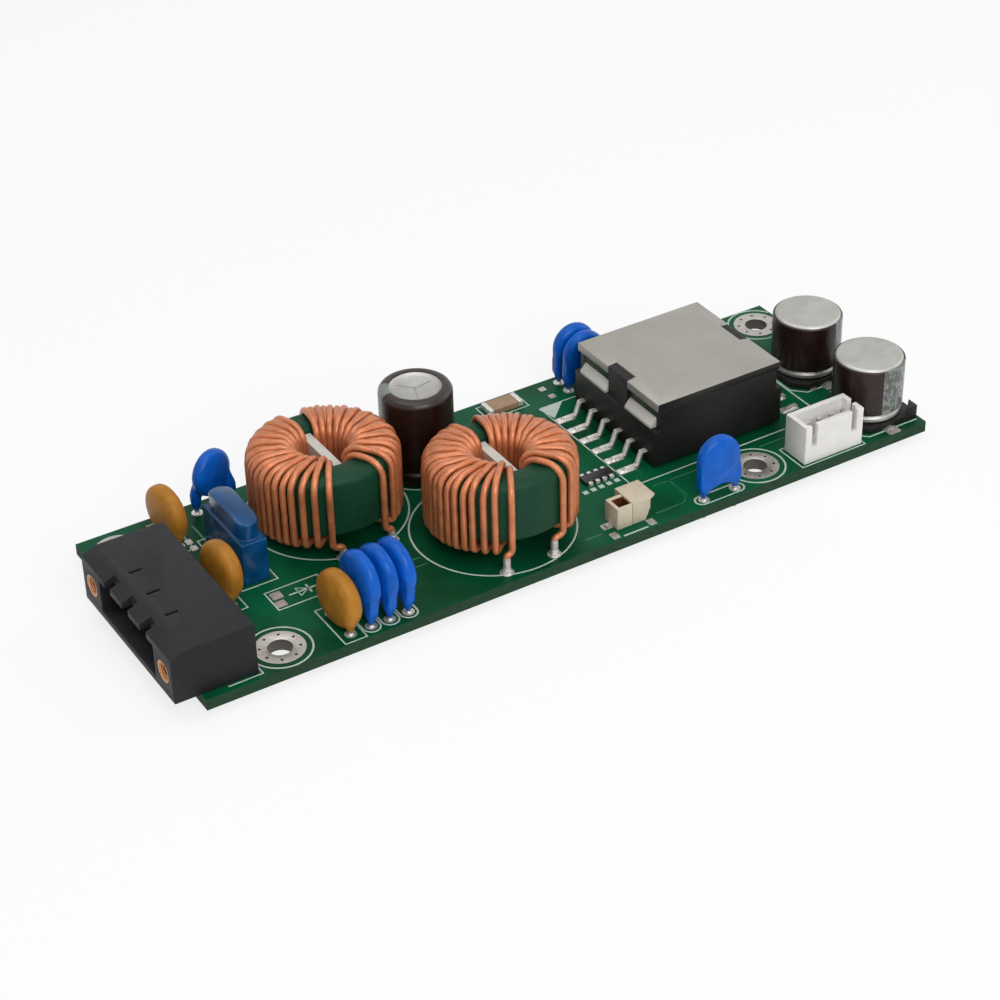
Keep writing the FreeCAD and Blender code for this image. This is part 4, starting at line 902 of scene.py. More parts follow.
def screw_lands(looks):
    """Lands on both faces, plated walls and small vias round every screw hole; each via is a flat dark
    disc of painted shade where its hole would be.
    """
    shape = bmesh.new()
    barrels = bmesh.new()
    reach = looks.land_radius / MM
    # Radii of the plated hole and of the land's bevelled lip, and the land's height
    wall = 1.58
    lip = 1.66
    proud = 0.05
    spots = []
    for x, y in SCREWS:
        ring = [(wall, 0.0), (lip, proud), (reach, proud), (reach, 0.0), (reach, -0.02)]
        turned(shape, ring, 64, spot=(x, y, 0))
        base = UNDER - proud
        low = [(wall, UNDER), (lip, base), (reach, base), (reach, UNDER + 0.02)]
        turned(shape, low, 64, spot=(x, y, 0))
        turned(barrels, [(1.575, 0.02), (1.575, UNDER - 0.02)], 64, spot=(x, y, 0))
        for number in range(looks.vias):
            angle = 2 * math.pi * (number + 0.5) / looks.vias
            away = (1.6 + reach) / 2 + 0.12
            spots.append((x + away * math.cos(angle), y + away * math.sin(angle)))
    piece("screw_lands", shape, tinned("Tinned land", "BEB9B2"), "tinned_metal")
    piece("screw_barrels", barrels, moulded("Plated wall", paint("55514B"), 0.4), "tinned_metal")
    # Painted shade: no via hole is cut, only a flat dark disc coloured like the shade inside one
    hole = moulded("Painted via shade", paint("171512"), 0.7)
    sizes = (0.2, 0.02, 0.16, 0.16, 0.005)
    studs("screw_land_vias", spots, proud, hole, sizes, "green_laminate", sides=12)


class CONVERTER_OT_board(ConverterStep, bpy.types.Operator):
    """Finish the board and print its lines, lands and vias"""

    bl_idname = "converter.board"
    bl_label = "Circuit board"

    def execute(self, context):
        looks = context.scene.converter_board
        coat("circuit_board", laminate(looks))
        ink = mottled(
            "Printed ink", shade(looks.ink, 0.82), tuple(looks.ink), 0.25, roughness=0.6, depth=0.01
        )
        width = looks.ink_width / MM
        print_lines("board_print", drawn_lines(looks), width, ink, "green_laminate")
        solid_marks(ink)
        tracks(looks)
        screw_lands(looks)
        return {"FINISHED"}


def header_shroud(edge, material):
    """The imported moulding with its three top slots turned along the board."""
    thing = copied("header_shroud", "header_housing")
    top = span("header_housing")[1].z
    plugs = bmesh.new()
    slots = bmesh.new()
    for _, y in header_pins():
        slab(plugs, oblong(0.4, y, 0.8, 2.6), top - 0.9, top)
        slab(slots, oblong(0.35, y - 0.15, 1.65, 0.42, 0.15), top - 0.6, top + 0.4)
    tools = []
    for operation, shape in (("UNION", plugs), ("DIFFERENCE", slots)):
        name = "slots_" + operation.lower()
        tools.append(linked(name, mesh_of(name, shape, (0, 0, 0))))
        change = thing.modifiers.new(operation.title(), "BOOLEAN")
        change.operation = operation
        change.object = tools[-1]
    settle(thing)
    for tool in tools:
        bpy.data.objects.remove(tool)
    round_edges(thing, edge)
    seat(thing, material, "black_plastic", "header_housing")


class CONVERTER_OT_input_header(ConverterStep, bpy.types.Operator):
    """Finish the input header, its threaded inserts and its pins"""

    bl_idname = "converter.input_header"
    bl_label = "Input header"

    def execute(self, context):
        looks = context.scene.converter_header
        black = moulded("Black moulding", tuple(looks.shroud), 0.5, 0.3, 0.3, 0.03, 0.22)
        header_shroud(looks.edge, black)
        coat("header_pins", tinned())
        low, high = span("header_inserts")
        tone = tuple(looks.insert)
        copper = metal("Insert metal", shade(tone, 0.7), tone, (0.4, 0.35, 0.65), 0.9, 0.28, 0.15, 0.05)
        outer = (high.z - low.z) / 2
        height = (low.z + high.z) / 2
        bore = 1.05
        # Half the thread's pitch, and its depth
        rise = 0.24
        cut = 0.16
        ring = [(outer, 0.0), (outer, high.x - low.x), (bore, high.x - low.x)]
        for number in range(24, 0, -1):
            ring.append((bore + (cut if number % 2 else 0.0), number * rise))
        ring.extend([(bore, 0.2), (bore + 0.2, 0.0)])
        shape = bmesh.new()
        lying = Matrix.Rotation(math.radians(90), 4, "Y")
        for y in (low.y + outer, high.y - outer):
            turned(shape, ring, 40, True, (low.x, y, height), lying)
        piece("threaded_inserts", shape, copper, "brass", "header_inserts")
        return {"FINISHED"}


DISCS = [f"ochre_disc_{n}" for n in (1, 2, 3)] + [f"blue_disc_{n}" for n in range(1, 8)]
# From a disc's middle to each leg
DISC_LEG = 2.54
LEAD_RADIUS = 0.3
# Degrees that a disc is turned on its legs and that it leans
TWISTS = dict(zip(DISCS, (7.0, 7.0, 7.0, 4.0, 4.0, 4.0, 0.0, 0.0, 0.0, 24.0)))
LEANS = dict(zip(DISCS, (-2.0, 3.0, 0.0, 1.5, 0.0, -1.5, -5.0, 0.0, 0.0, 0.0)))


def lead_places(node, radius, count):
    """Places of a row of leads, from the box that they fill."""
    low, high = span(node)
    along_x = high.x - low.x > high.y - low.y
    start = low.x if along_x else low.y
    end = high.x if along_x else high.y
    x, y = middle(node)
    places = []
    for number in range(count):
        here = start + radius + (end - start - 2 * radius) * number / (count - 1)
        places.append((here, y) if along_x else (x, here))
    return places


def dipped_disc(label, across, thick, top, voxel, twist):
    """A disc on edge about X with two legs along Y, joined as one coat of resin."""
    radius = across / 2
    height = top - radius
    shape = bmesh.new()
    # The coat's outline over its edge is fuller than an ellipse
    steps = 18
    profile = []
    for number in range(steps * 2 + 1):
        angle = math.pi * number / (2 * steps)
        away = math.sin(angle) ** 0.72 * radius
        side = math.cos(angle)
        side = math.copysign(abs(side) ** 0.62, side) * thick / 2
        profile.append((away if 0 < number < 2 * steps else 0.0, side))
    lying = Matrix.Rotation(math.radians(90), 4, "Y")
    lying = Matrix.Rotation(math.radians(twist), 4, "Z") @ lying
    turned(shape, profile, 56, spot=(0, 0, height), turn=lying)
    blue = label.startswith("blue")
    wide = 0.78 if blue else min(1.0, thick * 0.42)
    # Radius and height of a leg from its tip up, then half the web between the legs
    leg = [(0.0, 0.2), (0.36, 0.22), (0.46, 0.7), (wide, 1.9), (wide, 3.0), (0.0, height)]
    for side in (-1, 1):
        turned(shape, leg, 20, spot=(0, side * DISC_LEG, 0))
    if blue and twist < 10:
        half = [(radius * 0.97, height), (3.3, 1.9), (2.9, 1.2), (2.1, 1.1), (1.3, 1.6)]
        outline = half + [(0.0, 1.8)] + [(-y, z) for y, z in reversed(half)]
        web = bmesh.new()
        slab(web, outline, -0.7, 0.7)
        web.transform(Matrix(((0, 0, 1, 0), (1, 0, 0, 0), (0, 1, 0, 0), (0, 0, 0, 1))))
        web.transform(Matrix.Rotation(math.radians(twist / 2), 4, "Z"))
        part = bpy.data.meshes.new(label + "_web")
        web.to_mesh(part)
        web.free()
        shape.from_mesh(part)
    mesh = mesh_of(label + "_dip", shape)
    thing = linked(label + "_dip", mesh)
    remesh = thing.modifiers.new("One coat", "REMESH")
    remesh.mode = "VOXEL"
    remesh.voxel_size = voxel * MM
    smooth = thing.modifiers.new("Even coat", "SMOOTH")
    smooth.factor = 0.6
    smooth.iterations = 12
    settle(thing)
    mesh = thing.data
    bpy.data.objects.remove(thing)
    soften(mesh, 80)
    return mesh


def lead_pair(label):
    """A disc's two wires, from their trimmed tips up into the coat."""
    tip = span(label + "_leads")[0].z
    radius = LEAD_RADIUS
    bar = [(0, tip), (radius * 0.8, tip), (radius, tip + 0.1), (radius, 0.6), (0, 0.6)]
    shape = bmesh.new()
    for x, y in lead_places(label + "_leads", radius, 2):
        turned(shape, bar, 16, spot=(x, y, 0))
    piece(label + "_wires", shape, tinned(), "tinned_metal", label + "_leads")


def resin(name, tone, gloss, speckled):
    """The dipped coat of a disc, plain or with dark specks."""

    def recipe(graph):
        cloud = graph.grain(2.2, detail=2.0)
        dots = graph.grain(0.28, 0.62, 0.74, 2.0)
        base = graph.mix(cloud, shade(tone, 0.72), tone)
        if speckled:
            base = graph.mix(dots * 0.5, base, shade(tone, 0.35))
        return dict(
            base_color=base, roughness=gloss + cloud * 0.1, specular_ior_level=0.15, coat_weight=0.06,
            coat_roughness=0.2, relief=cloud * 0.8 + dots * 0.2, depth=0.06,
        )

    return finish(name, recipe)


class CONVERTER_OT_discs(ConverterStep, bpy.types.Operator):
    """Make the dipped disc capacitors and their leads"""

    bl_idname = "converter.discs"
    bl_label = "Disc capacitors"

    def execute(self, context):
        looks = context.scene.converter_discs
        coats = {
            "ochre": resin("Ochre coating", tuple(looks.ochre), 0.38, True),
            "blue": resin("Blue coating", tuple(looks.blue), 0.2, False),
        }
        voxel = looks.voxel / MM
        # Discs of one size, direction and twist share a shape
        dipped = {}
        for label in DISCS:
            low, high = span(label + "_body")
            along_x = high.x - low.x > high.y - low.y
            twist = TWISTS[label]
            size = (round(high.z - low.z, 1), round(high.z, 1), along_x, twist)
            if size not in dipped:
                thick, across = sorted((high.x - low.x, high.y - low.y))
                dipped[size] = dipped_disc(label, across, thick, high.z, voxel, twist)
            mesh = dipped[size].copy()
            x, y = middle(label + "_body")
            turn = Matrix.Rotation(math.radians(-90 if along_x else 0), 4, "Z")
            lean = Matrix.Rotation(math.radians(LEANS[label]), 4, "Y")
            mesh.transform(Matrix.Translation(at(x, y)) @ turn @ lean)
            disc = linked(label + "_coat", mesh)
            tint = label.split("_")[0]
            seat(disc, coats[tint], tint + "_coating", label + "_body")
            lead_pair(label)
        return {"FINISHED"}


class CONVERTER_OT_fuse(ConverterStep, bpy.types.Operator):
    """Make the blade fuse's tinted shell and finish its element"""

    bl_idname = "converter.fuse"
    bl_label = "Blade fuse"

    def execute(self, context):
        looks = context.scene.converter_fuse
        tone = tuple(looks.shell)

        def recipe(graph):
            flow = graph.grain(2.2, detail=1.0, stretch=(1, 0.35, 1))
            return dict(
                base_color=graph.mix(flow, shade(tone, 0.6), tone),
                roughness=0.14 + flow * 0.08,
                specular_ior_level=0.25,
                transmission_weight=0.12,
                ior=1.49,
                coat_weight=0.08,
                coat_roughness=0.05,
                relief=flow,
                depth=0.05,
            )

        eased(
            "fuse_shell", "fuse_body", looks.edge / MM, finish("Tinted shell", recipe),
            "clear_blue_plastic", 3,
        )
        coat("fuse_element", tinned())
        return {"FINISHED"}


# Each choke's number, the shift of its leads along the board, its ring's tilt across and lift,
# and the height of its near bends
CHOKES = ((1, 1.1, 0.03, 0.05, 1.7), (2, -1.1, 0.07, 0.35, 2.5))
# From a choke's middle to its leads, along and across
CHOKE_LEAD = (3.575, 8.9)


def enamel_finish(tone):
    """Clear enamel over copper wire."""

    def recipe(graph):
        smear = graph.grain(1.8, detail=2.0)
        fine = graph.grain(0.3, detail=2.0)
        base = graph.mix(smear, shade(tone, 0.62), tone)
        return dict(
            base_color=graph.mix(fine * 0.25, base, shade(tone, 1.4)),
            metallic=0.3,
            roughness=0.3 + smear * 0.12,
            specular_ior_level=0.4,
            coat_weight=0.2,
            coat_roughness=0.15,
            relief=fine,
            depth=0.01,
        )

    return finish("Enamelled wire", recipe)


def ring_core(label, x, y, tilt, lift, material):
    """A choke's coated ring, which leans with its turns."""
    low, high = span(label + "_core")
    radius = (high.x - low.x) / 2
    bore = 4.75
    outline = rounded(
        [
            (bore, low.z + 0.7, 0.7), (radius, low.z + 0.7, 0.4), (radius, high.z, 1.2),
            (bore, high.z, 1.1),
        ],
        1.0,
        6,
    )
    shape = bmesh.new()
    turned(shape, outline, 72, True)
    for corner in shape.verts:
        corner.co.z += lift - corner.co.y * tilt
    name = label + "_ring"
    piece(name, shape, material, "green_core_coating", label + "_core", spot=(x, y, 0))


def tinned_tails(name, x, y, bend):
    """Bare tinned ends, a little thicker than the enamelled wire."""
    tip = -2.82
    radius = 0.49
    shape = bmesh.new()
    for side, top in ((-1, bend - 0.15), (1, 0.6)):
        bar = [(0, tip), (radius - 0.02, tip), (radius, -2.7), (radius, top - 0.2), (0.42, top)]
        turned(shape, bar, 16, spot=(x, y + side * CHOKE_LEAD[1], 0))
    piece(name + "_tinned", shape, tinned(), "tinned_metal")


class CONVERTER_OT_chokes(ConverterStep, bpy.types.Operator):
    """Wind both chokes and finish their cores and dividers"""

    bl_idname = "converter.chokes"
    bl_label = "Chokes"

    def execute(self, context):
        looks = context.scene.converter_chokes
        enamel = enamel_finish(tuple(looks.enamel))
        tone = tuple(looks.core)
        green = mottled(
            "Core coating", shade(tone, 0.7), shade(tone, 1.15), 0.9, roughness=0.45, depth=0.05,
            specular_ior_level=0.15,
        )
        fibre = moulded("Divider board", tuple(looks.divider), 0.7, 0.4, 0.1)
        tree = winding_tree()
        for number, shift, tilt, lift, bend in CHOKES:
            label = f"choke_{number}"
            x, y = middle(label + "_core")
            ring_core(label, x, y, tilt, lift, green)
            coat(label + "_divider", fibre)
            for side, sign in (("left", -1.0), ("right", 1.0)):
                values = {
                    "Wire radius": looks.wire / MM / 2,
                    "Lead": (CHOKE_LEAD[0] + shift * sign, CHOKE_LEAD[1], bend),
                    "Tilt": tilt,
                    "Lift": lift,
                    "Side": sign,
                    "Looseness": looks.looseness,
                    "Seed": looks.seed + number * 10 + int(sign),
                    "Middle": tuple(at(x, y)),
                    "Enamel": enamel,
                }
                name = f"{label}_wire_{side}"
                coil = grow(name, tree, values)
                seat(coil, enamel, "copper_wire", f"{label}_winding_{side}")
                tinned_tails(name, x + values["Lead"][0] * sign, y, bend)
        return {"FINISHED"}


def capacitor_sleeve(name, looks, x, y, start, width, ragged):
    """Glossy film round a can at x, y, with a stripe from one angle to another."""
    heart = at(x, y)

    def recipe(graph):
        shifted = graph.add(
            "ShaderNodeVectorMath", {"operation": "SUBTRACT"}, graph.place(), tuple(heart)
        )
        dx, dy = graph.parts_of(shifted)[:2]
        angle = graph.math("ARCTAN2", dy, dx) * (180 / math.pi)
        away = (angle - (start + width / 2) + 540.0).math("FLOORED_MODULO", 360.0) - 180.0
        band = away.math("ABSOLUTE") < width / 2
        marks = graph.grain(0.5, 0.46, 0.54, 2.0, stretch=(1, 1, 0.6))
        haze = graph.grain(2.0, detail=2.0)
        tone = tuple(looks.sleeve)
        film = graph.mix(haze, shade(tone, 0.7), shade(tone, 1.3))
        stripe = graph.mix(marks * ragged, tuple(looks.stripe), tone)
        return dict(
            base_color=graph.mix(band, film, stripe), roughness=0.3 + haze * 0.08,
            specular_ior_level=0.35, coat_weight=0.12, coat_roughness=0.1, relief=haze, depth=0.03,
        )

    return finish(name, recipe)


def can_finish(looks):
    """Drawn aluminium with fine scratches round the can."""

    def recipe(graph):
        scratch = graph.grain(0.25, detail=2.0, stretch=(1, 6, 1))
        cloud = graph.grain(3.0, detail=2.0)
        tone = tuple(looks.can)
        return dict(
            base_color=graph.mix(cloud, shade(tone, 0.82), tone),
            metallic=0.75,
            roughness=0.36 + scratch * 0.12,
            relief=scratch,
            depth=0.008,
        )

    return finish("Drawn can", recipe)


class CONVERTER_OT_tall_capacitor(ConverterStep, bpy.types.Operator):
    """Make the tall capacitor's can, sleeve and leads"""

    bl_idname = "converter.tall_capacitor"
    bl_label = "Tall capacitor"

    def execute(self, context):
        looks = context.scene.converter_capacitors
        x, y = middle("tall_capacitor_can")
        low, high = span("tall_capacitor_sleeve")
        radius = (high.x - low.x) / 2
        inner = radius - 0.15
        bottom = low.z
        top = high.z
        lip = radius * 0.71
        # Radius, height and rounding of each corner
        outline = rounded(
            [
                (lip, top - 0.12, 0.0), (lip, top, 0.04), (radius, top, 0.9),
                (radius, bottom + 2.6, 0.3), (radius - 0.42, bottom + 2.1, 0.3),
                (radius, bottom + 1.6, 0.3), (radius, bottom, 0.3), (inner - 0.6, bottom, 0.0),
                (inner - 0.6, bottom + 0.12, 0.0), (inner - 0.55, bottom + 2.1, 0.0),
                (inner, bottom + 2.9, 0.0), (inner, top - 0.5, 0.4),
            ],
            0.1,
            4,
        )
        film = capacitor_sleeve("Tall sleeve", looks, x, y, 140.0, 38.0, 0.25)
        node = "tall_capacitor_sleeve"
        lathe("tall_sleeve", outline, (x, y), film, "dark_sleeve", node, closed=True)
        disc = top - 0.45
        # Radius and height, from the middle of the scored top down to the base
        profile = [
            (0.0, disc), (lip - 0.5, disc), (lip - 0.28, disc + 0.1), (lip - 0.05, disc + 0.3),
            (lip + 0.35, disc + 0.3), (inner - 0.15, disc - 0.1), (inner - 0.15, bottom + 3.0),
            (inner - 0.7, bottom + 2.1), (inner - 0.7, bottom + 0.05), (0.0, bottom + 0.05),
        ]
        drawn = can_finish(looks)
        lathe("tall_can", profile, (x, y), drawn, "aluminium_can", "tall_capacitor_can")
        shape = bmesh.new()
        for number in range(3):
            angle = math.radians(120 * number + 9)
            ray = Vector((math.cos(angle), math.sin(angle)))
            side = Vector((-ray.y, ray.x)) * 0.13
            end = ray * 2.6
            corners = [-side, end - side, end + side, side]
            slab(shape, [tuple(c + Vector((x, y))) for c in corners], disc - 0.1, disc + 0.03)
        piece("tall_scores", shape, moulded("Score shadow", paint("9A9995"), 0.45), "aluminium_can")
        coat("tall_capacitor_leads", tinned())
        return {"FINISHED"}


def fillet(shape, x, y, length_, width, height):
    """A low mound of solder round a pin's foot."""
    rings = []
    for share, rise in ((1.0, 0.03), (0.86, 0.12), (0.66, height), (0.3, height)):
        outline = oblong(x, y, length_ * share, width * share, 0.3 * share)
        rings.append([shape.verts.new((px, py, rise)) for px, py in outline])
    for lower, upper in zip(rings, rings[1:]):
        count = len(lower)
        for number in range(count):
            after = (number + 1) % count
            shape.faces.new([lower[number], lower[after], upper[after], upper[number]])
    shape.faces.new(rings[-1])
    shape.faces.new(list(reversed(rings[0])))


class CONVERTER_OT_transformer(ConverterStep, bpy.types.Operator):
    """Finish the transformer's core, coil former, coil and pins"""

    bl_idname = "converter.transformer"
    bl_label = "Transformer"

    def execute(self, context):
        looks = context.scene.converter_transformer
        tone = tuple(looks.plate)
        low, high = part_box("transformer_core_upper")

        def ground(graph):
            """Grey top, dark coil former sides and a greenish band low on the ends."""
            y, z = graph.parts_of(graph.place())[1:]
            lap = graph.grain(0.35, detail=2.0, stretch=(0.3, 1, 1))
            cloud = graph.grain(6.0, detail=2.0)
            near = 0.03 * MM
            side = (y < low.y + near).math("MAXIMUM", y > high.y - near)
            side = side * (z < high.z - 0.3 * MM)
            below = z < high.z - 1.6 * MM
            face = graph.mix(cloud * 0.7 + lap * 0.3, shade(tone, 0.85), tone)
            top = graph.mix(below, face, paint("35493F"))
            return dict(
                base_color=graph.mix(side, top, tuple(looks.former)),
                metallic=(1.0 - side) * 0.3,
                specular_ior_level=0.4,
                roughness=0.34 + lap * 0.12,
                relief=lap,
                depth=0.012,
            )

        ferrite = finish("Ground core", ground)
        edge = looks.edge / MM
        eased("core_plate", "transformer_core_upper", edge, ferrite, "ferrite")
        ledge = moulded("Ground ledge", paint("C4C2BB"), 0.35, 0.4, 0.1, 0.01)
        eased("core_legs", "transformer_core_lower", edge * 0.7, ledge, "ferrite")
        black = moulded("Coil former", tuple(looks.former), 0.45, 0.3, 0.3, 0.02, 0.25)
        eased("coil_former", "transformer_bobbin", edge, black, "black_plastic")
        coat("transformer_winding", bpy.data.materials["Enamelled wire"])
        eased("former_pins", "transformer_pins", 0.05, tinned(), "tinned_metal", 1)
        low, high = span("transformer_pins")
        lands = bmesh.new()
        mounds = bmesh.new()
        pins = 6
        half = 0.4
        pitch = (high.y - low.y - 2 * half) / (pins - 1)
        for number in range(pins):
            y = low.y + half + pitch * number
            for x in (low.x + 0.1, high.x - 0.1):
                slab(lands, oblong(x, y, 2.9, 1.4, 0.25), -0.01, 0.04)
                fillet(mounds, x, y, 2.5, 1.15, 0.24)
        piece("transformer_lands", lands, tinned("Tinned land"), "tinned_metal")
        piece("transformer_solder", mounds, solder(), "tinned_metal", smooth=60)
        return {"FINISHED"}


def socket_finish(tone):
    """Beige moulding with painted dark brown shade inside its mouth."""
    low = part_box("socket_housing")[0]

    def recipe(graph):
        x, y, z = graph.parts_of(graph.place())
        fine = graph.grain(0.4)
        face = graph.mix(fine, shade(tone, 0.88), tone)
        # Painted shade: the box inside the socket's mouth, low down, is coloured dark brown
        inside = (x > low.x + 0.45 * MM) * (x < low.x + 2.45 * MM)
        inside = inside * (y > low.y + 0.45 * MM) * (y < low.y + 2.5 * MM)
        inside = inside * (z < low.z + 3.0 * MM)
        return dict(
            base_color=graph.mix(inside, face, paint("5E3210")),
            roughness=0.5 + fine * 0.08,
            relief=fine,
            depth=0.02,
        )

    return finish("Beige moulding", recipe)


class CONVERTER_OT_connectors(ConverterStep, bpy.types.Operator):
    """Finish the output header and the two-way socket"""

    bl_idname = "converter.connectors"
    bl_label = "Connectors"

    def execute(self, context):
        looks = context.scene.converter_connectors
        white = moulded("White moulding", tuple(looks.white), 0.45, 0.4, 0.06, 0.02)
        beige = socket_finish(tuple(looks.beige))
        eased("output_shroud", "output_header_housing", 0.1, white, "white_plastic")
        eased("socket_moulding", "socket_housing", 0.09, beige, "beige_plastic")
        coat("output_header_pins", tinned())
        coat("socket_contacts", tinned())
        return {"FINISHED"}


class CONVERTER_OT_output_capacitors(ConverterStep, bpy.types.Operator):
    """Make the output capacitors' cans and sleeves and finish their bases"""

    bl_idname = "converter.output_capacitors"
    bl_label = "Output capacitors"

    def execute(self, context):
        looks = context.scene.converter_capacitors
        drawn = can_finish(looks)
        black = bpy.data.materials["Coil former"]
        # Number and the angle in degrees at which the sleeve's stripe starts
        for number, start in ((1, -104.0), (2, -74.0)):
            label = f"output_capacitor_{number}"
            x, y = middle(label + "_can")
            low, high = span(label + "_can")
            sleeve = span(label + "_sleeve")
            radius = (sleeve[1].x - sleeve[0].x) / 2
            top = high.z
            can = radius - 0.15
            # Radius, height and rounding of each corner
            profile = rounded(
                [
                    (can - 0.35, low.z, 0.15), (can, low.z + 0.3, 0.15), (can, low.z + 0.75, 0.1),
                    (can - 0.35, low.z + 1.15, 0.2), (can - 0.05, low.z + 1.6, 0.1),
                    (can - 0.05, top, 0.5), (0.0, top, 0.0), (0.0, low.z, 0.0),
                ],
                0.1,
                4,
            )
            profile = profile[-1:] + profile[:-1]
            lathe(label + "_drawn", profile, (x, y), drawn, "aluminium_can", label + "_can")
            bottom = sleeve[0].z + 0.7
            skin = rounded(
                [
                    (can - 0.03, bottom, 0.0), (radius, bottom, 0.12), (radius, top - 0.4, 0.25),
                    (can - 0.03, top - 0.25, 0.0),
                ],
                0.1,
                4,
            )
            film = capacitor_sleeve(f"Output sleeve {number}", looks, x, y, start, 60.0, 0.6)
            node = label + "_sleeve"
            lathe(label + "_film", skin, (x, y), film, "dark_sleeve", node, closed=True)
            eased(label + "_moulded_base", label + "_base", 0.15, black, "black_plastic")
            coat(label + "_terminals", tinned())
        return {"FINISHED"}


class CONVERTER_OT_chips(ConverterStep, bpy.types.Operator):
    """Finish the chips and add the bare lands of the parts that are not fitted"""

    bl_idname = "converter.chips"
    bl_label = "Chips and lands"

    def execute(self, context):
        tan = moulded("Sintered ceramic", paint("9C7F63"), 0.5, 0.3, 0.15)
        dark = moulded("Glazed chip", paint("1B1B1C"), 0.3, 0.3, 0.2)
        eased("chip_ceramic", "chip_capacitor", 0.1, tan, "tan_ceramic")
        eased("chip_metal", "chip_capacitor_ends", 0.1, solder(), "tinned_metal")
        eased("array_block", "resistor_array", 0.05, dark, "black_plastic")
        eased("array_metal", "resistor_array_terminals", 0.05, solder(), "tinned_metal")
        shape = bmesh.new()
        for x, y, long, wide in LANDS:
            slab(shape, oblong(x, y, long, wide, min(long, wide) * 0.12), -0.01, 0.045)
        piece("bare_lands", shape, tinned("Tinned land"), "tinned_metal")
        return {"FINISHED"}


# Middle along and across, length and width
LANDS = [
    (16.6, 13.75, 1.5, 1.5), (16.3, 11.95, 1.4, 1.3), (70.6, 36.2, 1.0, 1.0), (70.8, 33.9, 1.0, 1.0),
    (12.5, 30.3, 0.9, 1.1), (12.5, 28.7, 0.9, 1.1), (59.6, 3.4, 1.7, 1.2), (65.0, 3.4, 1.4, 1.2),
    (59.2, 1.1, 1.1, 1.4), (64.9, 1.05, 1.1, 1.4), (97.6, 16.3, 1.0, 0.8), (97.4, 13.3, 1.0, 0.8),
    (95.8, 12.9, 0.8, 1.0), (102.4, 15.2, 0.9, 0.9), (104.75, 1.1, 2.0, 2.2), (104.75, 12.3, 2.0, 2.2),
    (104.75, 14.9, 2.0, 2.2), (104.75, 25.9, 2.0, 2.2),
]


class CONVERTER_OT_solder(ConverterStep, bpy.types.Operator):
    """Solder every lead, on its land under the board and round its hole above"""

    bl_idname = "converter.solder"
    bl_label = "Solder joints"

    def execute(self, context):
        discs = []
        for label in DISCS:
            discs.extend(lead_places(label + "_leads", LEAD_RADIUS, 2))
        small = discs + lead_places("tall_capacitor_leads", LEAD_RADIUS, 2)
        small.extend(lead_places("output_header_pins", 0.25, 4))
        large = header_pins()
        for number, shift, *_ in CHOKES:
            x, y = middle(f"choke_{number}_core")
            for sign in (-1, 1):
                for end in (-CHOKE_LEAD[1], CHOKE_LEAD[1]):
                    large.append((x + CHOKE_LEAD[0] * sign + shift, y + end))
        joint = solder()
        studs("solder_small_under", small, UNDER, joint, (0.95, 0.08, 0.75, 0.34, 0.7), turn=math.pi)
        studs("solder_large_under", large, UNDER, joint, (1.35, 0.08, 1.1, 0.52, 0.85), turn=math.pi)
        studs("solder_above", large[3:], 0.0, joint, (0.95, 0.08, 0.72, 0.5, 0.9))
        studs("lands_above", discs, 0.0, joint, (0.8, 0.08, 0.45, 0.32, 0.18))
        return {"FINISHED"}


def seen(graph):
    """1 where a ray from the eye, a mirror or a glass looks straight at the surface."""
    ray = "ShaderNodeLightPath"
    eye = graph.add(ray, {}, output="Is Camera Ray")
    mirror = graph.add(ray, {}, output="Is Glossy Ray")
    glass = graph.add(ray, {}, output="Is Transmission Ray")
    return (eye + mirror + glass).math("MINIMUM", 1.0)


def floor_finish(tone):
    """A pale floor that glows a little where it is looked at."""
    material = bpy.data.materials.new("Floor")
    graph = cleared(material)
    plain = graph.add("ShaderNodeBsdfDiffuse", {}, color=tone)
    glow = graph.add("ShaderNodeEmission", {}, color=(1.0, 1.0, 1.0), strength=1.0)
    glowing = 0.78
    shader = graph.add("ShaderNodeMixShader", {}, seen(graph) * glowing, plain, glow)
    graph.add("ShaderNodeOutputMaterial", {}, surface=shader)
    return material


def even_light(scene, strength):
    """A white world, dimmer for what it lights than for the eye."""
    world = bpy.data.worlds.new("Even light")
    graph = cleared(world)
    level = seen(graph) * (1.0 - strength) + strength
    light = graph.add("ShaderNodeBackground", {}, color=(1.0, 1.0, 1.0), strength=level)
    graph.add("ShaderNodeOutputWorld", {}, surface=light)
    scene.world = world


def lamp(name, place, size, watts):
    """A square lamp that faces the board."""
    light = bpy.data.lights.new(name, "AREA")
    light.shape = "SQUARE"
    light.size = size
    light.energy = watts
    thing = linked(name, light)
    thing.location = place
    aim = Vector((0.0, 0.0, 0.005)) - Vector(place)
    thing.rotation_euler = aim.to_track_quat("-Z", "Y").to_euler()


def camera(scene, looks):
    """The camera, turned, tilted and rolled by the angles in aim."""
    lens = bpy.data.cameras.new("camera")
    lens.lens = looks.lens
    lens.sensor_width = 36.0
    lens.clip_start = 0.01
    eye = linked("camera", lens)
    turn, tilt, roll = looks.aim
    back = Vector((math.sin(turn) * math.cos(tilt), -math.cos(turn) * math.cos(tilt), math.sin(tilt)))
    right = Vector((math.cos(turn), math.sin(turn), 0.0))
    up = back.cross(right)
    rolled_right = right * math.cos(roll) + up * math.sin(roll)
    rolled_up = up * math.cos(roll) - right * math.sin(roll)
    rotation = Matrix((rolled_right, rolled_up, back)).transposed().to_4x4()
    eye.matrix_world = Matrix.Translation(Vector(looks.place)) @ rotation
    scene.camera = eye


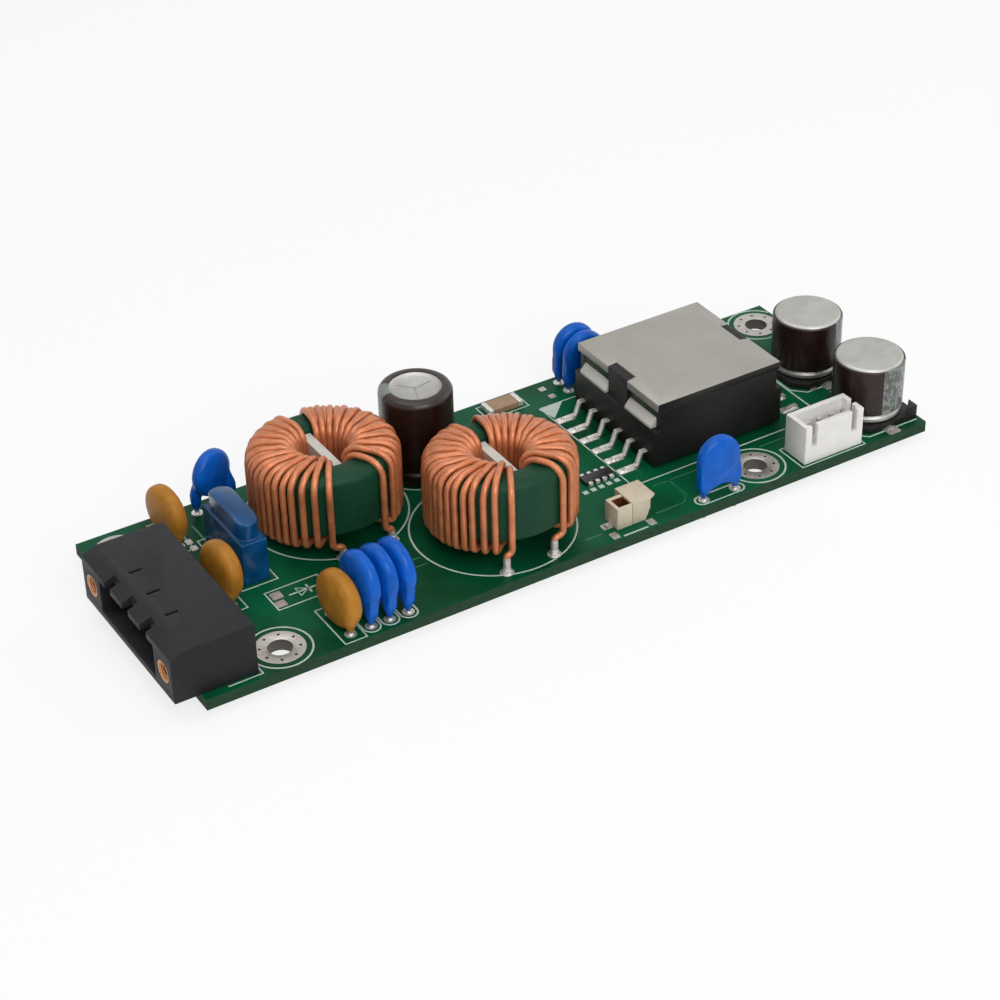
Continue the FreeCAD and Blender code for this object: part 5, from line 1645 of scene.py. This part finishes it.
class CONVERTER_OT_stage(ConverterStep, bpy.types.Operator):
    """Lay the floor and set the lamps, the even light and the camera"""

    bl_idname = "converter.stage"
    bl_label = "Stage"

    def execute(self, context):
        scene = context.scene
        looks = scene.converter_stage
        shape = bmesh.new()
        slab(shape, oblong(0, 0, 6000, 6000), -20, 0)
        floor = linked("floor", mesh_of("floor", shape))
        floor.data.transform(Matrix.Translation((0, 0, cad_box[0][2])))
        floor.data.materials.append(floor_finish(tuple(looks.floor)))
        lamp("key_lamp", (-0.08, -0.50, 0.42), 0.42, looks.key)
        lamp("top_lamp", (-0.04, 0.06, 0.62), 0.50, looks.top)
        lamp("side_lamp", (0.52, -0.06, 0.30), 0.36, looks.rim)
        even_light(scene, looks.sky)
        camera(scene, looks)
        scene.view_settings.view_transform = "Standard"
        return {"FINISHED"}


STEPS = (
    CONVERTER_OT_board, CONVERTER_OT_input_header, CONVERTER_OT_discs, CONVERTER_OT_fuse,
    CONVERTER_OT_chokes, CONVERTER_OT_tall_capacitor, CONVERTER_OT_transformer, CONVERTER_OT_connectors,
    CONVERTER_OT_output_capacitors, CONVERTER_OT_chips, CONVERTER_OT_solder, CONVERTER_OT_stage,
)
LOOKS = {
    "converter_board": BoardLooks,
    "converter_header": HeaderLooks,
    "converter_discs": DiscLooks,
    "converter_fuse": FuseLooks,
    "converter_chokes": ChokeLooks,
    "converter_capacitors": CapacitorLooks,
    "converter_transformer": TransformerLooks,
    "converter_connectors": ConnectorLooks,
    "converter_stage": StageLooks,
}


class CONVERTER_PT_steps(bpy.types.Panel):
    """Lists the steps and the sizes and colours that they use"""

    bl_idname = "CONVERTER_PT_steps"
    bl_label = "Dc-dc converter"
    bl_space_type = "VIEW_3D"
    bl_region_type = "UI"
    bl_category = "Converter"

    def draw(self, context):
        for step in STEPS:
            self.layout.operator(step.bl_idname)
        for attribute, group in LOOKS.items():
            box = self.layout.box()
            box.label(text=group.__name__)
            for name in group.__annotations__:
                box.prop(getattr(context.scene, attribute), name)


def register():
    for group in LOOKS.values():
        bpy.utils.register_class(group)
    for attribute, group in LOOKS.items():
        setattr(bpy.types.Scene, attribute, PointerProperty(type=group))
    for step in STEPS:
        bpy.utils.register_class(step)
    bpy.utils.register_class(CONVERTER_PT_steps)


def unregister():
    bpy.utils.unregister_class(CONVERTER_PT_steps)
    for step in reversed(STEPS):
        bpy.utils.unregister_class(step)
    for attribute in LOOKS:
        delattr(bpy.types.Scene, attribute)
    for group in LOOKS.values():
        bpy.utils.unregister_class(group)


def main():
    """Registers the add-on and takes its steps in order."""
    register()
    for step in STEPS:
        group, name = step.bl_idname.split(".")
        getattr(getattr(bpy.ops, group), name)()


if __name__ == "__main__":
    main()
